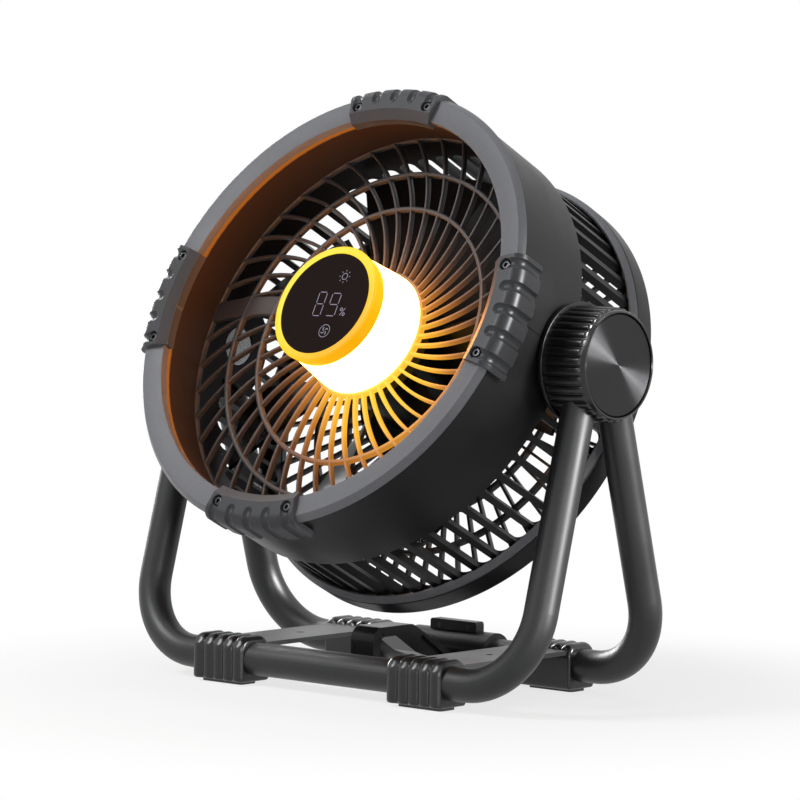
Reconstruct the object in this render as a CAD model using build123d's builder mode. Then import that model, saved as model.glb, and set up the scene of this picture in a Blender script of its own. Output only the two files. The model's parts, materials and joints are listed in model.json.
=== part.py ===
from build123d import *
import os
from math import cos, hypot, radians, sin, sqrt

# Portable camping fan: a drum head with a lamp and a display in the middle of its front grille,
# hung by two ribbed hubs in a bent-tube stand with a fold-away hanging hook.
# Millimetres. +Z is up, the fan blows towards -Y and the hubs lie on +X and -X. The origin is on
# the ground, under the middle of the whole object at rest.
# Left is -X and right is +X, as seen from the front. In the head, "_a" is a place along the
# head's own axis, counted from the tilt pivot towards the front, and "_r" a radius about it.

os.makedirs("parts", exist_ok=True)

# ------------------------------------------------------------------ fits and clearances
fit_gap = 0.1  # between pieces that are assembled and don't move
shell_gap = 0.3  # between large mouldings that slip into each other
running_gap = 0.06  # radial, between a shaft or tube and what turns on it
face_gap = 0.05  # between flat faces that slide on each other
rotor_gap = 0.8  # between the magnets and the stator
turning_gap = 0.6  # between the rotor's faces and what stands still

# ------------------------------------------------------------------ head: shell
tilt_deg = 27.0  # rest tilt, front face looking up
head_clearance = 4.2  # between the swinging head and the hook

housing_r = 154.0
housing_wall = 3.2
housing_front_a = 72.0
housing_back_a = 8.0

bezel_lip = 2.2  # how far the bezel stands out over the housing
bezel_depth = 5.0
bezel_chamfer = 4.2  # radial width of the outer chamfer
bezel_dish = 4.2  # the face falls this far from its outer edge to the opening
bezel_thick = 3.3
bezel_face = 18.2  # radial width of the bezel, from its edge to the opening
spigot_depth = 6.0  # the bezel's spigot inside the housing
spigot_wall = 2.0

duct_wall = 2.0
duct_step = 0.4  # the duct starts this far outside the opening's edge

grille_front_a = 32.0
grille_depth = 4.0
grille_plate_margin = 3.0  # the solid plate under the lamp is this much larger
grille_rings = (92.0, 118.0)
grille_ring_width = 3.0
grille_flange = 7.0
rib_count = 45
rib_width = 2.2
rib_bend_r = 92.0  # each rib leans back by the first angle here
rib_bend_deg = 9.8
rib_sweep_deg = 24.5  # and by this angle at the flange
channel_width = 14.0  # wire channel across the grille
channel_root_deg = 164.0  # counter-clockwise from +X, seen from the front
channel_bend_deg = 5.0
channel_sweep_deg = 12.0

# ------------------------------------------------------------------ head: cage and rear
cage_wall = 6.0
slat_count = 60
slat_width = 4.5
slot_front_edge = 1.0  # from the housing's rear edge to the slots
slot_back_edge = 5.3  # from the slots to the cage's rear edge
rear_grille_depth = 4.8
rear_rib_width = 2.0
rear_rings = (88.0, 115.0)
rear_ring_width = 3.0
rear_flange = 6.5
rim_proud = 2.5  # the rim stands out over the housing
rim_overlap = 14.6  # the rim reaches this far over the cage
rim_chamfer = 2.6
rim_slope = 2.5  # its front face slopes in by this much
rim_lip = 4.5  # inward lip that holds the rear grille
rim_lip_thick = 2.7
rim_back_edge = 2.0

# ------------------------------------------------------------------ bumpers
bumper_proud = 4.5  # over the housing
bumper_thick = 3.0  # over the bezel's foremost edge
bumper_reach = 15.0  # back along the housing
bumper_lip = 3.0  # inside the opening
bumper_lip_reach = 3.8  # back from the opening's edge
bumper_lip_edge = 1.5
bumper_corner = 8.0
bumper_span_deg = 29.0
groove_pitch_deg = 6.0
groove_count = 5
groove_r = 3.6
groove_depth = 1.5
groove_start = 1.0  # the grooves start this far inside the rounded corner
bumper_screw_deg = 12.0
bumper_screw_inset = 8.0  # from the opening to the screws
screw_head_r = 3.0
screw_head = 2.4
screw_shank_r = 1.5
screw_length = 14.0
screw_sink = 1.2  # below the bumper's face
screw_boss_wall = 2.0
socket_width = 2.5  # hexagon socket, across flats
socket_depth = 1.4

# ------------------------------------------------------------------ lamp and display
lamp_r = 43.0
lamp_base_thick = 4.0
diffuser_taper = 2.8
diffuser_length = 30.4
diffuser_wall = 2.2
lamp_post_r = 16.0
lamp_post_wall = 2.0
led_board_gap = 3.8  # from the diffuser's inner face to the board
led_count = 24
led_inset = 6.0  # from the board's edge to the lights
led_size = 3.5
led_height = 1.2
board_thick = 1.6
lamp_ring_flare = 1.2  # the ring's front is this much wider than the diffuser
lamp_ring_length = 10.8
lamp_ring_edge = 1.2
lamp_ring_wall = 5.5  # from the ring's edge to the display
display_thick = 2.5
display_sink = 0.5  # below the lamp ring's front
carrier_floor = 2.4
carrier_wall = 2.0
display_board_gap = 2.9
display_post_r = 2.0
display_post_inset = 7.0  # from the board's edge to its posts
display_post = 1.2

# ------------------------------------------------------------------ rear hub and battery
rear_hub_wall = 2.5
rear_hub_flange = 4.5
rear_hub_flange_thick = 2.0
rear_cover_proud = 1.0  # behind the rim
rear_cover_thick = 2.8
rear_cover_lip = 3.0
cell_r = 10.5
cell_length = 70.0
cell_count = 4
cell_gap = 0.5
cell_side_gap = 2.25  # from the cells' corners to the hub's wall
cell_back_gap = 1.7  # from the cells to the cover
tray_end = 5.0  # the cells stand this far out of each end of the tray
tray_depth = 9.0
tray_edge = 1.2
cell_floor = 2.5  # between the cells and the hub's floor
board_width = 40.0
board_height = 15.0
board_gap = 0.9  # from the boards' corners to the hub's wall
board_post_r = 2.0
board_post_spacing = 35.0
usb_width = 9.0
usb_height = 3.4
usb_wall = 0.5
usb_depth = 7.6
usb_sink = 1.4  # the socket's mouth lies this far inside the cover's face
button_spacing = 24.0
button_r = 6.0
button_proud = 1.2
button_flange = 1.0
button_flange_thick = 1.0
button_travel = 1.0
button_stem_r = 2.0
button_rest_gap = 0.2  # left between stem and switch when pressed
switch_size = 6.0
switch_height = 3.4

# ------------------------------------------------------------------ motor and blades
shaft_r = 3.0
bearing_r = 7.0
bearing_width = 4.0
bearing_wall = 2.0
bearing_tube_length = 29.4
motor_flange_r = 24.0
motor_flange_thick = 3.0
stator_place = 6.4  # from the motor's flange to the stator
stator_length = 18.0
stator_r = 22.4
stator_yoke = 3.6
stator_teeth = 12
tooth_width = 3.4
tooth_tip = 2.0
tooth_slot = 2.5
coil_build = 1.5
magnet_thick = 2.4
magnet_count = 14
magnet_slot = 0.8
bell_wall = 2.2
bell_cap = 2.4
bell_boss_r = 6.0
bell_boss = 4.0
bell_skirt = 4.0  # past the stator, towards the rear
fan_hub_r = 40.0
fan_hub_wall = 2.2
fan_boss_r = 8.0
fan_boss = 15.7
fan_back_gap = 6.35  # from the motor's seat to the fan hub's open rear
blade_count = 7
blade_tip_gap = 5.5
blade_thick = 2.4
blade_root_chord = 46.0
blade_tip_chord = 92.0
blade_root_pitch = 46.0
blade_tip_pitch = 21.0
blade_back = 23.0  # from the fan hub's front to the blades' middle
nut_flats = 10.0
nut_height = 5.0
shaft_end = 2.0  # past the blade nut
shaft_gap = 5.0  # from the shaft's end to the front grille

# ------------------------------------------------------------------ tilt pivot
boss_r = 33.0  # disc between the housing shells
boss_step = 9.0  # the plug through the cage wall is this much smaller
boss_proud = 0.4
axle_r = 7.0
axle_flange_r = 13.0
axle_flange = 2.5
axle_seat = 0.6  # from the cage's inner face to the axle's flange
axle_thread_r = 5.0
washer_margin = 3.0  # the friction washer stays this far inside the disc
washer_thick = 0.9
spring_washer_r = 12.0
spring_washer_thick = 1.5
axle_nut_flats = 17.0
axle_nut_height = 6.0
axle_end = 0.8  # past the axle nut

# ------------------------------------------------------------------ hubs
hub_length = 34.4
hub_floor = 19.6
hub_rim_r = 39.25
hub_rim_width = 2.8
hub_rim_step = 2.25
hub_taper = 1.2
hub_shoulder = 4.2
hub_shoulder_step = 1.4
hub_rib_count = 36
hub_groove_r = 2.1
hub_groove_depth = 1.3
nut_room_gap = 1.0  # round the spring washer
cap_margin = 1.5  # from the hub's face edge to the cap
cap_thick = 4.2
cap_sink = 1.0
cap_chamfer = 1.0

# ------------------------------------------------------------------ stand
tube_r = 11.0
tube_wall = 1.5
leg_gap = 1.5  # between a bumper and a leg
leg_top_y = 10.0  # from the pivot plane to a leg, at the pivot's height
foot_y = 65.0  # from the pivot plane to the tubes' level runs
foot_clear = 6.5  # from the ground to the tubes
bend_r = 50.0
leg_stop = 13.5  # the tubes end this far short of the pivot's height

foot_x = 87.0
foot_width = 46.0
foot_inner_wall = 3.0
foot_outer_wall = 1.2
foot_top_wall = 2.0
foot_bottom = 2.0
foot_corner = 7.0
foot_rib_count = 5
foot_rib_width = 5.2
foot_rib_pitch = 9.4
foot_rib_proud = 1.8
pad_shift = 1.0  # outwards from the foot block's middle
pad_side = 4.25  # from the foot block's side to its pad
pad_depth = 15.0
pad_thick = 3.0
pad_corner = 3.0

plate_shift = 2.5  # inwards from the foot block's middle
plate_narrow = 1.0  # narrower than the foot block
plate_thick = 3.0
plate_sink = 2.5  # below the foot block's top
plate_seat = 4.5  # how far the plate enters the foot blocks
plate_hole_r = 2.75

leg_screw_z = 155.0
leg_screw_r = 3.8
leg_screw_head = 1.8
leg_screw_shank_r = 2.0
leg_screw_length = 8.0

# ------------------------------------------------------------------ hanging hook
# The hook's y values count from the pivot plane, its z values from the ground.
hook_width = 20.0
sleeve_wall = 3.6
sleeve_length = 70.0
hook_top = 41.0
hook_tip_y = -30.0
hook_tip_z = 17.0
hook_tip_thick = 7.0
hook_bend_y = 9.0  # the flat top ends here and the arm slopes to the sleeve
hook_back = 6.5  # thickness of the flat top
hook_mouth_y = -8.0
hook_mouth_back = (12.0, 22.0)  # lowest point of the mouth's sloping side
hook_root_gap = 7.0  # the arm ends this far before the tube's axis, inside the sleeve
hook_root_top = 13.0
hook_root_bottom = 6.0
hook_round = 9.0  # outer corner over the tip
hook_bend_round = 8.0
mouth_round = 4.5
tip_round = 1.5
pocket_start = (17.0, 31.0)
pocket_end = (40.0, 15.5)
pocket_width = 5.0
pocket_depth = 3.0
tab_width = 41.0
tab_height = 21.0  # above the tube's axis
tab_thick = 8.0
tab_corner = 2.0
tab_screw_spacing = 26.0
tab_screw_height = 17.0
tab_screw_r = 1.5
tab_screw_head_r = 2.8
tab_screw_head = 1.6

# ------------------------------------------------------------------ places that follow
tilt = radians(tilt_deg)
housing_inner_r = housing_r - housing_wall
cage_r = housing_inner_r - shell_gap
cage_inner_r = cage_r - cage_wall
blade_tip_r = cage_inner_r - blade_tip_gap
bezel_r = housing_r + bezel_lip
opening_r = bezel_r - bezel_face
bezel_front_a = housing_front_a + bezel_depth
opening_a = bezel_front_a - bezel_dish
bezel_back_a = opening_a - bezel_thick
grille_back_a = grille_front_a - grille_depth

# From the front grille to the rear: shaft, blades, motor, battery, cover, rim and rear grille.
shaft_front_a = grille_back_a - shaft_gap
nut_back_a = shaft_front_a - shaft_end - nut_height
fan_front_a = nut_back_a - face_gap
fan_front_inside_a = fan_front_a - fan_hub_wall
fan_boss_back_a = fan_front_inside_a - fan_boss
bell_boss_front_a = fan_boss_back_a - face_gap
bell_front_a = bell_boss_front_a - bell_boss
bell_inside_a = bell_front_a - bell_cap
tube_front_a = bell_inside_a - turning_gap
motor_flange_a = tube_front_a - bearing_tube_length
motor_back_a = motor_flange_a - motor_flange_thick
fan_back_a = motor_back_a + fan_back_gap
hub_front_a = motor_back_a - fit_gap
hub_inside_a = hub_front_a - rear_hub_wall
cell_axis_a = hub_inside_a - cell_floor - cell_r
cover_front_a = cell_axis_a - cell_r - cell_back_gap
cover_back_a = cover_front_a - rear_cover_thick
rim_r = housing_r + rim_proud
rim_back_a = cover_back_a + rear_cover_proud
rear_grille_back_a = rim_back_a + rim_lip_thick + fit_gap
rear_grille_front_a = rear_grille_back_a + rear_grille_depth
cage_back_a = rear_grille_front_a + fit_gap
rim_front_a = cage_back_a + rim_overlap

bumper_r = housing_r + bumper_proud
bumper_front_a = bezel_front_a + bumper_thick
bumper_screw_r = opening_r + bumper_screw_inset

# The pivot stands off the origin so that the head's front and rear reach lie evenly about it.
corner_reach_a = bumper_front_a - bumper_corner
corner_reach_r = bumper_r - bumper_corner
front_reach = corner_reach_a * cos(tilt) + corner_reach_r * sin(tilt) + bumper_corner
rear_reach = -rim_back_a * cos(tilt) + (rim_r - rim_back_edge) * sin(tilt)
pivot_y = (front_reach - rear_reach) / 2

# The pivot stands high enough for the head to swing clear over the hook.
swing_r = max(hypot(corner_reach_a, corner_reach_r) + bumper_corner, hypot(rim_back_a, rim_r))
pivot_height = hook_top + head_clearance + swing_r

PIVOT = Vector(0, pivot_y, pivot_height)
PIVOT_AXIS = Axis(PIVOT, (1, 0, 0))
HEAD = Plane(origin=PIVOT, x_dir=(1, 0, 0), z_dir=(0, -cos(tilt), sin(tilt)))
HEAD_AXIS = Axis(HEAD.origin, HEAD.z_dir)
SIDES = {"left": -1, "right": 1}


def head_profile(angle=0.0):
    """Plane through the head's axis: local x is the radius at this angle, local y is a."""
    radial = HEAD.x_dir * cos(radians(angle)) + HEAD.y_dir * sin(radians(angle))
    return Plane(origin=HEAD.origin, x_dir=radial, z_dir=radial.cross(HEAD.z_dir))


def pivot_profile(side):
    """Plane through the pivot axis: local x is the radius, local y points outwards."""
    return Plane(origin=PIVOT, x_dir=(0, 0, 1), z_dir=(0, side, 0))


def side_plane(side, distance):
    """Plane across the pivot axis at this distance from the middle, facing outwards."""
    return Plane(PIVOT + Vector(side * distance, 0, 0), x_dir=(0, side, 0), z_dir=(side, 0, 0))


def section(inner, outer, start, end):
    """The four corners of a plain ring's section."""
    return [(inner, start), (outer, start), (outer, end), (inner, end)]


def turned(profile, axis, points):
    """A solid of revolution from a closed outline on a profile plane."""
    with BuildPart() as ring:
        with BuildSketch(profile):
            with BuildLine():
                Polyline(*points, close=True)
            make_face()
        revolve(axis=axis)
    return ring


def polar(radius, angle):
    """A point in the plane from its radius and its angle in degrees."""
    return (radius * cos(radians(angle)), radius * sin(radians(angle)))


def keep(piece, name):
    """Label a finished piece and write it as its own STEP file."""
    piece.part.label = name
    export_step(piece.part, f"parts/{name}.step")


# ================================================================== bezel, housing, duct
screw_seat_a = bumper_front_a - screw_sink - screw_head
screw_end_a = screw_seat_a - screw_length
screw_boss_r = screw_shank_r + screw_boss_wall
bumper_angles = {"right": 0.0, "top": 90.0, "left": 180.0, "bottom": 270.0}

with BuildPart(HEAD) as bezel_ring:
    with BuildSketch(head_profile()):
        with BuildLine():
            Polyline(
                (bezel_r, housing_front_a),
                (bezel_r - bezel_chamfer, bezel_front_a),
                (opening_r, opening_a),
                (opening_r, bezel_back_a),
                (cage_r - spigot_wall, bezel_back_a),
                (cage_r - spigot_wall, housing_front_a - spigot_depth),
                (cage_r, housing_front_a - spigot_depth),
                (cage_r, housing_front_a),
                close=True,
            )
        make_face()
    revolve(axis=HEAD_AXIS)
    for lean in (-bumper_screw_deg, bumper_screw_deg):
        with BuildSketch(HEAD.offset(screw_end_a)):
            with PolarLocations(bumper_screw_r, len(bumper_angles), start_angle=lean):
                Circle(screw_boss_r)
        extrude(amount=bezel_back_a + fit_gap - screw_end_a)
        with BuildSketch(HEAD.offset(screw_end_a - fit_gap)):
            with PolarLocations(bumper_screw_r, len(bumper_angles), start_angle=lean):
                Circle(screw_shank_r + face_gap)
        extrude(amount=bumper_front_a - screw_end_a, mode=Mode.SUBTRACT)
keep(bezel_ring, "bezel_ring")

# The housing is split level with its axis, and each shell is notched round the two pivots.
for name, start_angle in (("upper_housing", 0.0), ("lower_housing", 180.0)):
    with BuildPart() as housing_shell:
        with BuildSketch(head_profile(start_angle)):
            with BuildLine():
                Polyline(
                    *section(housing_inner_r, housing_r, housing_back_a, housing_front_a - fit_gap),
                    close=True,
                )
            make_face()
        revolve(axis=HEAD_AXIS, revolution_arc=180)
        for side in SIDES.values():
            with BuildSketch(side_plane(side, opening_r)):
                Circle(boss_r + fit_gap)
            extrude(amount=bezel_r - opening_r, mode=Mode.SUBTRACT)
    keep(housing_shell, name)

duct_front_r = opening_r + duct_step
duct_points = [
    (duct_front_r, bezel_back_a - fit_gap),
    (duct_front_r + duct_wall, bezel_back_a - fit_gap),
    (cage_inner_r + duct_wall, grille_front_a + fit_gap),
    (cage_inner_r, grille_front_a + fit_gap),
]
keep(turned(head_profile(), HEAD_AXIS, duct_points), "duct_ring")

# ================================================================== front grille
flange_inner_r = cage_r - grille_flange
grille_plate_r = lamp_r + grille_plate_margin

with BuildSketch() as rib:
    with BuildLine():
        ThreePointArc(
            polar(grille_plate_r - grille_ring_width, 0),
            polar(rib_bend_r, rib_bend_deg),
            polar(flange_inner_r + grille_ring_width, rib_sweep_deg),
        )
    trace(line_width=rib_width)

with BuildSketch() as channel:
    with BuildLine():
        ThreePointArc(
            polar(grille_plate_r - grille_ring_width, channel_root_deg),
            polar(rib_bend_r, channel_root_deg + channel_bend_deg),
            polar(flange_inner_r + grille_ring_width, channel_root_deg + channel_sweep_deg),
        )
    trace(line_width=channel_width)

with BuildPart() as front_grille:
    with BuildSketch(HEAD.offset(grille_back_a)):
        Circle(cage_r)
        Circle(flange_inner_r, mode=Mode.SUBTRACT)
        for ring_r in sorted(grille_rings, reverse=True):
            Circle(ring_r + grille_ring_width / 2)
            Circle(ring_r - grille_ring_width / 2, mode=Mode.SUBTRACT)
        Circle(grille_plate_r)
        with PolarLocations(0, rib_count):
            add(rib.sketch)
        add(channel.sketch)
    extrude(amount=grille_depth)
keep(front_grille, "front_grille")

# ================================================================== cage, rear grille, rim
boss_plug_r = boss_r - boss_step
slot_front_a = housing_back_a - slot_front_edge
slot_back_a = cage_back_a + slot_back_edge
slot_width = 2 * cage_r * sin(radians(180 / slat_count)) - slat_width

with BuildPart() as slot_tool:
    with BuildSketch(Plane.YZ.offset(opening_r)):
        with Locations((0, (slot_front_a + slot_back_a) / 2)):
            SlotOverall(slot_front_a - slot_back_a, slot_width, rotation=90)
    extrude(amount=bezel_r - opening_r)

with BuildPart(HEAD) as side_cage:
    with BuildSketch(HEAD.offset(cage_back_a)):
        Circle(cage_r)
        Circle(cage_inner_r, mode=Mode.SUBTRACT)
    extrude(amount=grille_back_a - fit_gap - cage_back_a)
    with PolarLocations(0, slat_count):
        add(slot_tool.part, mode=Mode.SUBTRACT)
    for side in SIDES.values():
        with BuildSketch(side_plane(side, opening_r)):
            Circle(boss_plug_r + fit_gap)
        extrude(amount=bezel_r - opening_r, mode=Mode.SUBTRACT)
keep(side_cage, "side_cage")

cell_pitch = 2 * cell_r + cell_gap
cell_row = (cell_count - 1) * cell_pitch + 2 * cell_r
rear_hub_r = hypot(cell_row / 2, cell_length / 2) + cell_side_gap + rear_hub_wall
rear_ring_inner_r = rear_hub_r + shell_gap
rear_ring_outer_r = rear_hub_r + rear_hub_flange
rear_flange_inner_r = cage_r - rear_flange
rear_rib_length = rear_flange_inner_r - rear_ring_outer_r + 2 * rear_rib_width

with BuildPart() as rear_grille:
    with BuildSketch(HEAD.offset(rear_grille_back_a)):
        Circle(cage_r)
        Circle(rear_flange_inner_r, mode=Mode.SUBTRACT)
        for ring_r in sorted(rear_rings, reverse=True):
            Circle(ring_r + rear_ring_width / 2)
            Circle(ring_r - rear_ring_width / 2, mode=Mode.SUBTRACT)
        Circle(rear_ring_outer_r)
        with PolarLocations((rear_flange_inner_r + rear_ring_outer_r) / 2, slat_count):
            Rectangle(rear_rib_length, rear_rib_width)
        Circle(rear_ring_inner_r, mode=Mode.SUBTRACT)
    extrude(amount=rear_grille_depth)
keep(rear_grille, "rear_grille")

rim_inner_r = cage_r + shell_gap
rim_points = [
    (rim_inner_r, rim_front_a - rim_slope),
    (rim_r - rim_chamfer, rim_front_a),
    (rim_r, rim_front_a - rim_chamfer),
    (rim_r, rim_back_a + rim_back_edge),
    (rim_r - rim_back_edge, rim_back_a),
    (cage_r - rim_lip, rim_back_a),
    (cage_r - rim_lip, rear_grille_back_a - fit_gap),
    (rim_inner_r, rear_grille_back_a - fit_gap),
]
keep(turned(head_profile(), HEAD_AXIS, rim_points), "rear_rim")

# ================================================================== bumpers and their screws
corner_r = bumper_r - bumper_corner
corner_a = bumper_front_a - bumper_corner
groove_out = groove_r - groove_depth  # the groove cutter runs this far outside the surface
lip_outer_r = opening_r - fit_gap
lip_inner_r = opening_r - bumper_lip

for place, middle in bumper_angles.items():
    with BuildPart(HEAD) as bumper:
        with BuildSketch(head_profile(middle - bumper_span_deg / 2)):
            with BuildLine():
                Line((lip_inner_r + bumper_lip_edge, bumper_front_a), (corner_r, bumper_front_a))
                CenterArc((corner_r, corner_a), bumper_corner, 0, 90)
                Polyline(
                    (bumper_r, corner_a),
                    (bumper_r, housing_front_a - bumper_reach),
                    (housing_r + fit_gap, housing_front_a - bumper_reach),
                    (housing_r + fit_gap, housing_front_a - fit_gap),
                    (bezel_r + fit_gap, housing_front_a - fit_gap),
                    (bezel_r + fit_gap, housing_front_a + fit_gap),
                    (bezel_r - bezel_chamfer, bezel_front_a + fit_gap),
                    (lip_outer_r, opening_a + fit_gap),
                    (lip_outer_r, opening_a - bumper_lip_reach),
                    (lip_inner_r, opening_a - bumper_lip_reach),
                    (lip_inner_r, bumper_front_a - bumper_lip_edge),
                    (lip_inner_r + bumper_lip_edge, bumper_front_a),
                )
            make_face()
        revolve(axis=HEAD_AXIS, revolution_arc=bumper_span_deg)
        for step in range(groove_count):
            groove_angle = middle + (step - (groove_count - 1) / 2) * groove_pitch_deg
            with BuildLine(head_profile(groove_angle)) as groove_path:
                Line(
                    (corner_r - groove_start, bumper_front_a + groove_out),
                    (corner_r, bumper_front_a + groove_out),
                )
                CenterArc((corner_r, corner_a), bumper_corner + groove_out, 90, -90)
                Line(
                    (bumper_r + groove_out, corner_a),
                    (bumper_r + groove_out, housing_front_a - bumper_reach - groove_r),
                )
            groove_start_point = groove_path.wire() @ 0
            with BuildSketch(Plane(groove_start_point, z_dir=groove_path.wire() % 0)):
                Circle(groove_r)
            sweep(path=groove_path.wire(), mode=Mode.SUBTRACT)
        for lean in (-bumper_screw_deg, bumper_screw_deg):
            with BuildSketch(HEAD.offset(screw_seat_a)):
                with PolarLocations(bumper_screw_r, 1, start_angle=middle + lean):
                    Circle(screw_head_r + fit_gap)
            extrude(amount=2 * screw_head, mode=Mode.SUBTRACT)
            with BuildSketch(HEAD.offset(screw_seat_a - screw_length)):
                with PolarLocations(bumper_screw_r, 1, start_angle=middle + lean):
                    Circle(screw_shank_r + fit_gap)
            extrude(amount=screw_length + screw_head, mode=Mode.SUBTRACT)
    keep(bumper, f"{place}_bumper")

with BuildPart(HEAD) as bumper_screws:
    for lean in (-bumper_screw_deg, bumper_screw_deg):
        with BuildSketch(HEAD.offset(screw_end_a)):
            with PolarLocations(bumper_screw_r, len(bumper_angles), start_angle=lean):
                Circle(screw_shank_r)
        extrude(amount=screw_length)
        with BuildSketch(HEAD.offset(screw_seat_a)):
            with PolarLocations(bumper_screw_r, len(bumper_angles), start_angle=lean):
                Circle(screw_head_r)
        extrude(amount=screw_head)
        with BuildSketch(HEAD.offset(screw_seat_a + screw_head)):
            with PolarLocations(bumper_screw_r, len(bumper_angles), start_angle=lean):
                RegularPolygon(socket_width / 2, 6, major_radius=False)
        extrude(amount=-socket_depth, mode=Mode.SUBTRACT)
keep(bumper_screws, "bumper_screws")

# ================================================================== lamp and display
diffuser_front_r = lamp_r - diffuser_taper
lamp_ring_r = diffuser_front_r + lamp_ring_flare
display_r = lamp_ring_r - lamp_ring_wall
display_board_r = display_r - carrier_wall - display_board_gap
led_board_r = lamp_r - diffuser_wall - led_board_gap
lamp_base_a = grille_front_a + fit_gap
lamp_floor_a = lamp_base_a + lamp_base_thick
diffuser_front_a = lamp_floor_a + fit_gap + diffuser_length
lamp_ring_a = diffuser_front_a + fit_gap
lamp_ring_front_a = lamp_ring_a + lamp_ring_length
glass_back_a = lamp_ring_front_a - display_sink - display_thick
post_bore_r = lamp_post_r - lamp_post_wall
carrier_top_a = glass_back_a - fit_gap

lamp_base_points = [
    (post_bore_r, lamp_base_a),
    (lamp_r, lamp_base_a),
    (lamp_r, lamp_floor_a),
    (lamp_post_r, lamp_floor_a),
    (lamp_post_r, diffuser_front_a),
    (post_bore_r, diffuser_front_a),
]
keep(turned(head_profile(), HEAD_AXIS, lamp_base_points), "lamp_base")

with BuildPart(HEAD) as led_board:
    with BuildSketch(HEAD.offset(lamp_floor_a + fit_gap)):
        Circle(led_board_r)
        Circle(lamp_post_r + shell_gap, mode=Mode.SUBTRACT)
    extrude(amount=board_thick)
    with BuildSketch(HEAD.offset(lamp_floor_a + fit_gap + board_thick)):
        with PolarLocations(led_board_r - led_inset, led_count):
            Rectangle(led_size, led_size)
    extrude(amount=led_height)
keep(led_board, "led_board")

diffuser_points = [
    (lamp_r - diffuser_wall, lamp_floor_a + fit_gap),
    (lamp_r, lamp_floor_a + fit_gap),
    (diffuser_front_r, diffuser_front_a),
    (diffuser_front_r - diffuser_wall, diffuser_front_a),
]
keep(turned(head_profile(), HEAD_AXIS, diffuser_points), "lamp_diffuser")

lamp_ring_points = [
    (display_r + fit_gap, lamp_ring_a),
    (diffuser_front_r, lamp_ring_a),
    (lamp_ring_r, lamp_ring_front_a - lamp_ring_edge),
    (lamp_ring_r - lamp_ring_edge, lamp_ring_front_a),
    (display_r + fit_gap, lamp_ring_front_a),
]
keep(turned(head_profile(), HEAD_AXIS, lamp_ring_points), "lamp_ring")

with BuildPart(HEAD) as display_carrier:
    with BuildSketch(HEAD.offset(lamp_ring_a)):
        Circle(display_r)
        Circle(post_bore_r, mode=Mode.SUBTRACT)
    extrude(amount=carrier_floor)
    with BuildSketch(HEAD.offset(lamp_ring_a + carrier_floor)):
        Circle(display_r)
        Circle(display_r - carrier_wall, mode=Mode.SUBTRACT)
    extrude(amount=carrier_top_a - lamp_ring_a - carrier_floor)
    with BuildSketch(HEAD.offset(lamp_ring_a + carrier_floor)):
        with PolarLocations(display_board_r - display_post_inset, 4):
            Circle(display_post_r)
    extrude(amount=display_post)
keep(display_carrier, "display_carrier")

display_board_a = lamp_ring_a + carrier_floor + display_post + fit_gap
with BuildPart() as display_board:
    with BuildSketch(HEAD.offset(display_board_a)):
        Circle(display_board_r)
    extrude(amount=board_thick)
keep(display_board, "display_board")

with BuildPart() as display_glass:
    with BuildSketch(HEAD.offset(glass_back_a)):
        Circle(display_r)
    extrude(amount=display_thick)
keep(display_glass, "display_glass")

# ================================================================== rear hub and battery
hub_flange_back_a = rear_grille_front_a + fit_gap
hub_flange_front_a = hub_flange_back_a + rear_hub_flange_thick
hub_bore_r = rear_hub_r - rear_hub_wall
board_back_a = cover_back_a + usb_sink + usb_depth + fit_gap
board_front_a = board_back_a + board_thick
board_standoff = hub_inside_a - fit_gap - board_front_a
board_place = sqrt(hub_bore_r**2 - (board_width / 2) ** 2) - board_height / 2 - board_gap

with BuildPart(HEAD) as rear_hub:
    with BuildSketch(head_profile()):
        with BuildLine():
            Polyline(
                (0, hub_front_a),
                (rear_hub_r, hub_front_a),
                (rear_hub_r, hub_flange_front_a),
                (rear_ring_outer_r, hub_flange_front_a),
                (rear_ring_outer_r, hub_flange_back_a),
                (rear_hub_r, hub_flange_back_a),
                (rear_hub_r, cover_front_a + fit_gap),
                (hub_bore_r, cover_front_a + fit_gap),
                (hub_bore_r, hub_inside_a),
                (0, hub_inside_a),
                close=True,
            )
        make_face()
    revolve(axis=HEAD_AXIS)
    with BuildSketch(HEAD.offset(hub_inside_a)):
        with GridLocations(board_post_spacing, 2 * board_place, 2, 2):
            Circle(board_post_r)
    extrude(amount=-board_standoff)
keep(rear_hub, "rear_hub")

cover_lip_r = hub_bore_r - shell_gap
with BuildPart(HEAD) as rear_cover:
    with BuildSketch(HEAD.offset(cover_back_a)):
        Circle(rear_hub_r)
        with Locations((-button_spacing / 2, board_place), (button_spacing / 2, board_place)):
            Circle(button_r + fit_gap, mode=Mode.SUBTRACT)
        with Locations((0, -board_place)):
            SlotOverall(
                usb_width + 2 * (usb_wall + fit_gap),
                usb_height + 2 * (usb_wall + fit_gap),
                mode=Mode.SUBTRACT,
            )
    extrude(amount=rear_cover_thick)
    with BuildSketch(HEAD.offset(cover_front_a)):
        Circle(cover_lip_r)
        Circle(cover_lip_r - rear_hub_wall, mode=Mode.SUBTRACT)
    extrude(amount=rear_cover_lip)
keep(rear_cover, "rear_cover")

CELL_PLANE = Plane(
    origin=HEAD.origin + HEAD.z_dir * cell_axis_a - HEAD.y_dir * cell_length / 2,
    x_dir=HEAD.x_dir,
    z_dir=HEAD.y_dir,
)
with BuildPart() as battery_cells:
    with BuildSketch(CELL_PLANE):
        with GridLocations(cell_pitch, 1, cell_count, 1):
            Circle(cell_r)
    extrude(amount=cell_length)
keep(battery_cells, "battery_cells")

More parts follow.
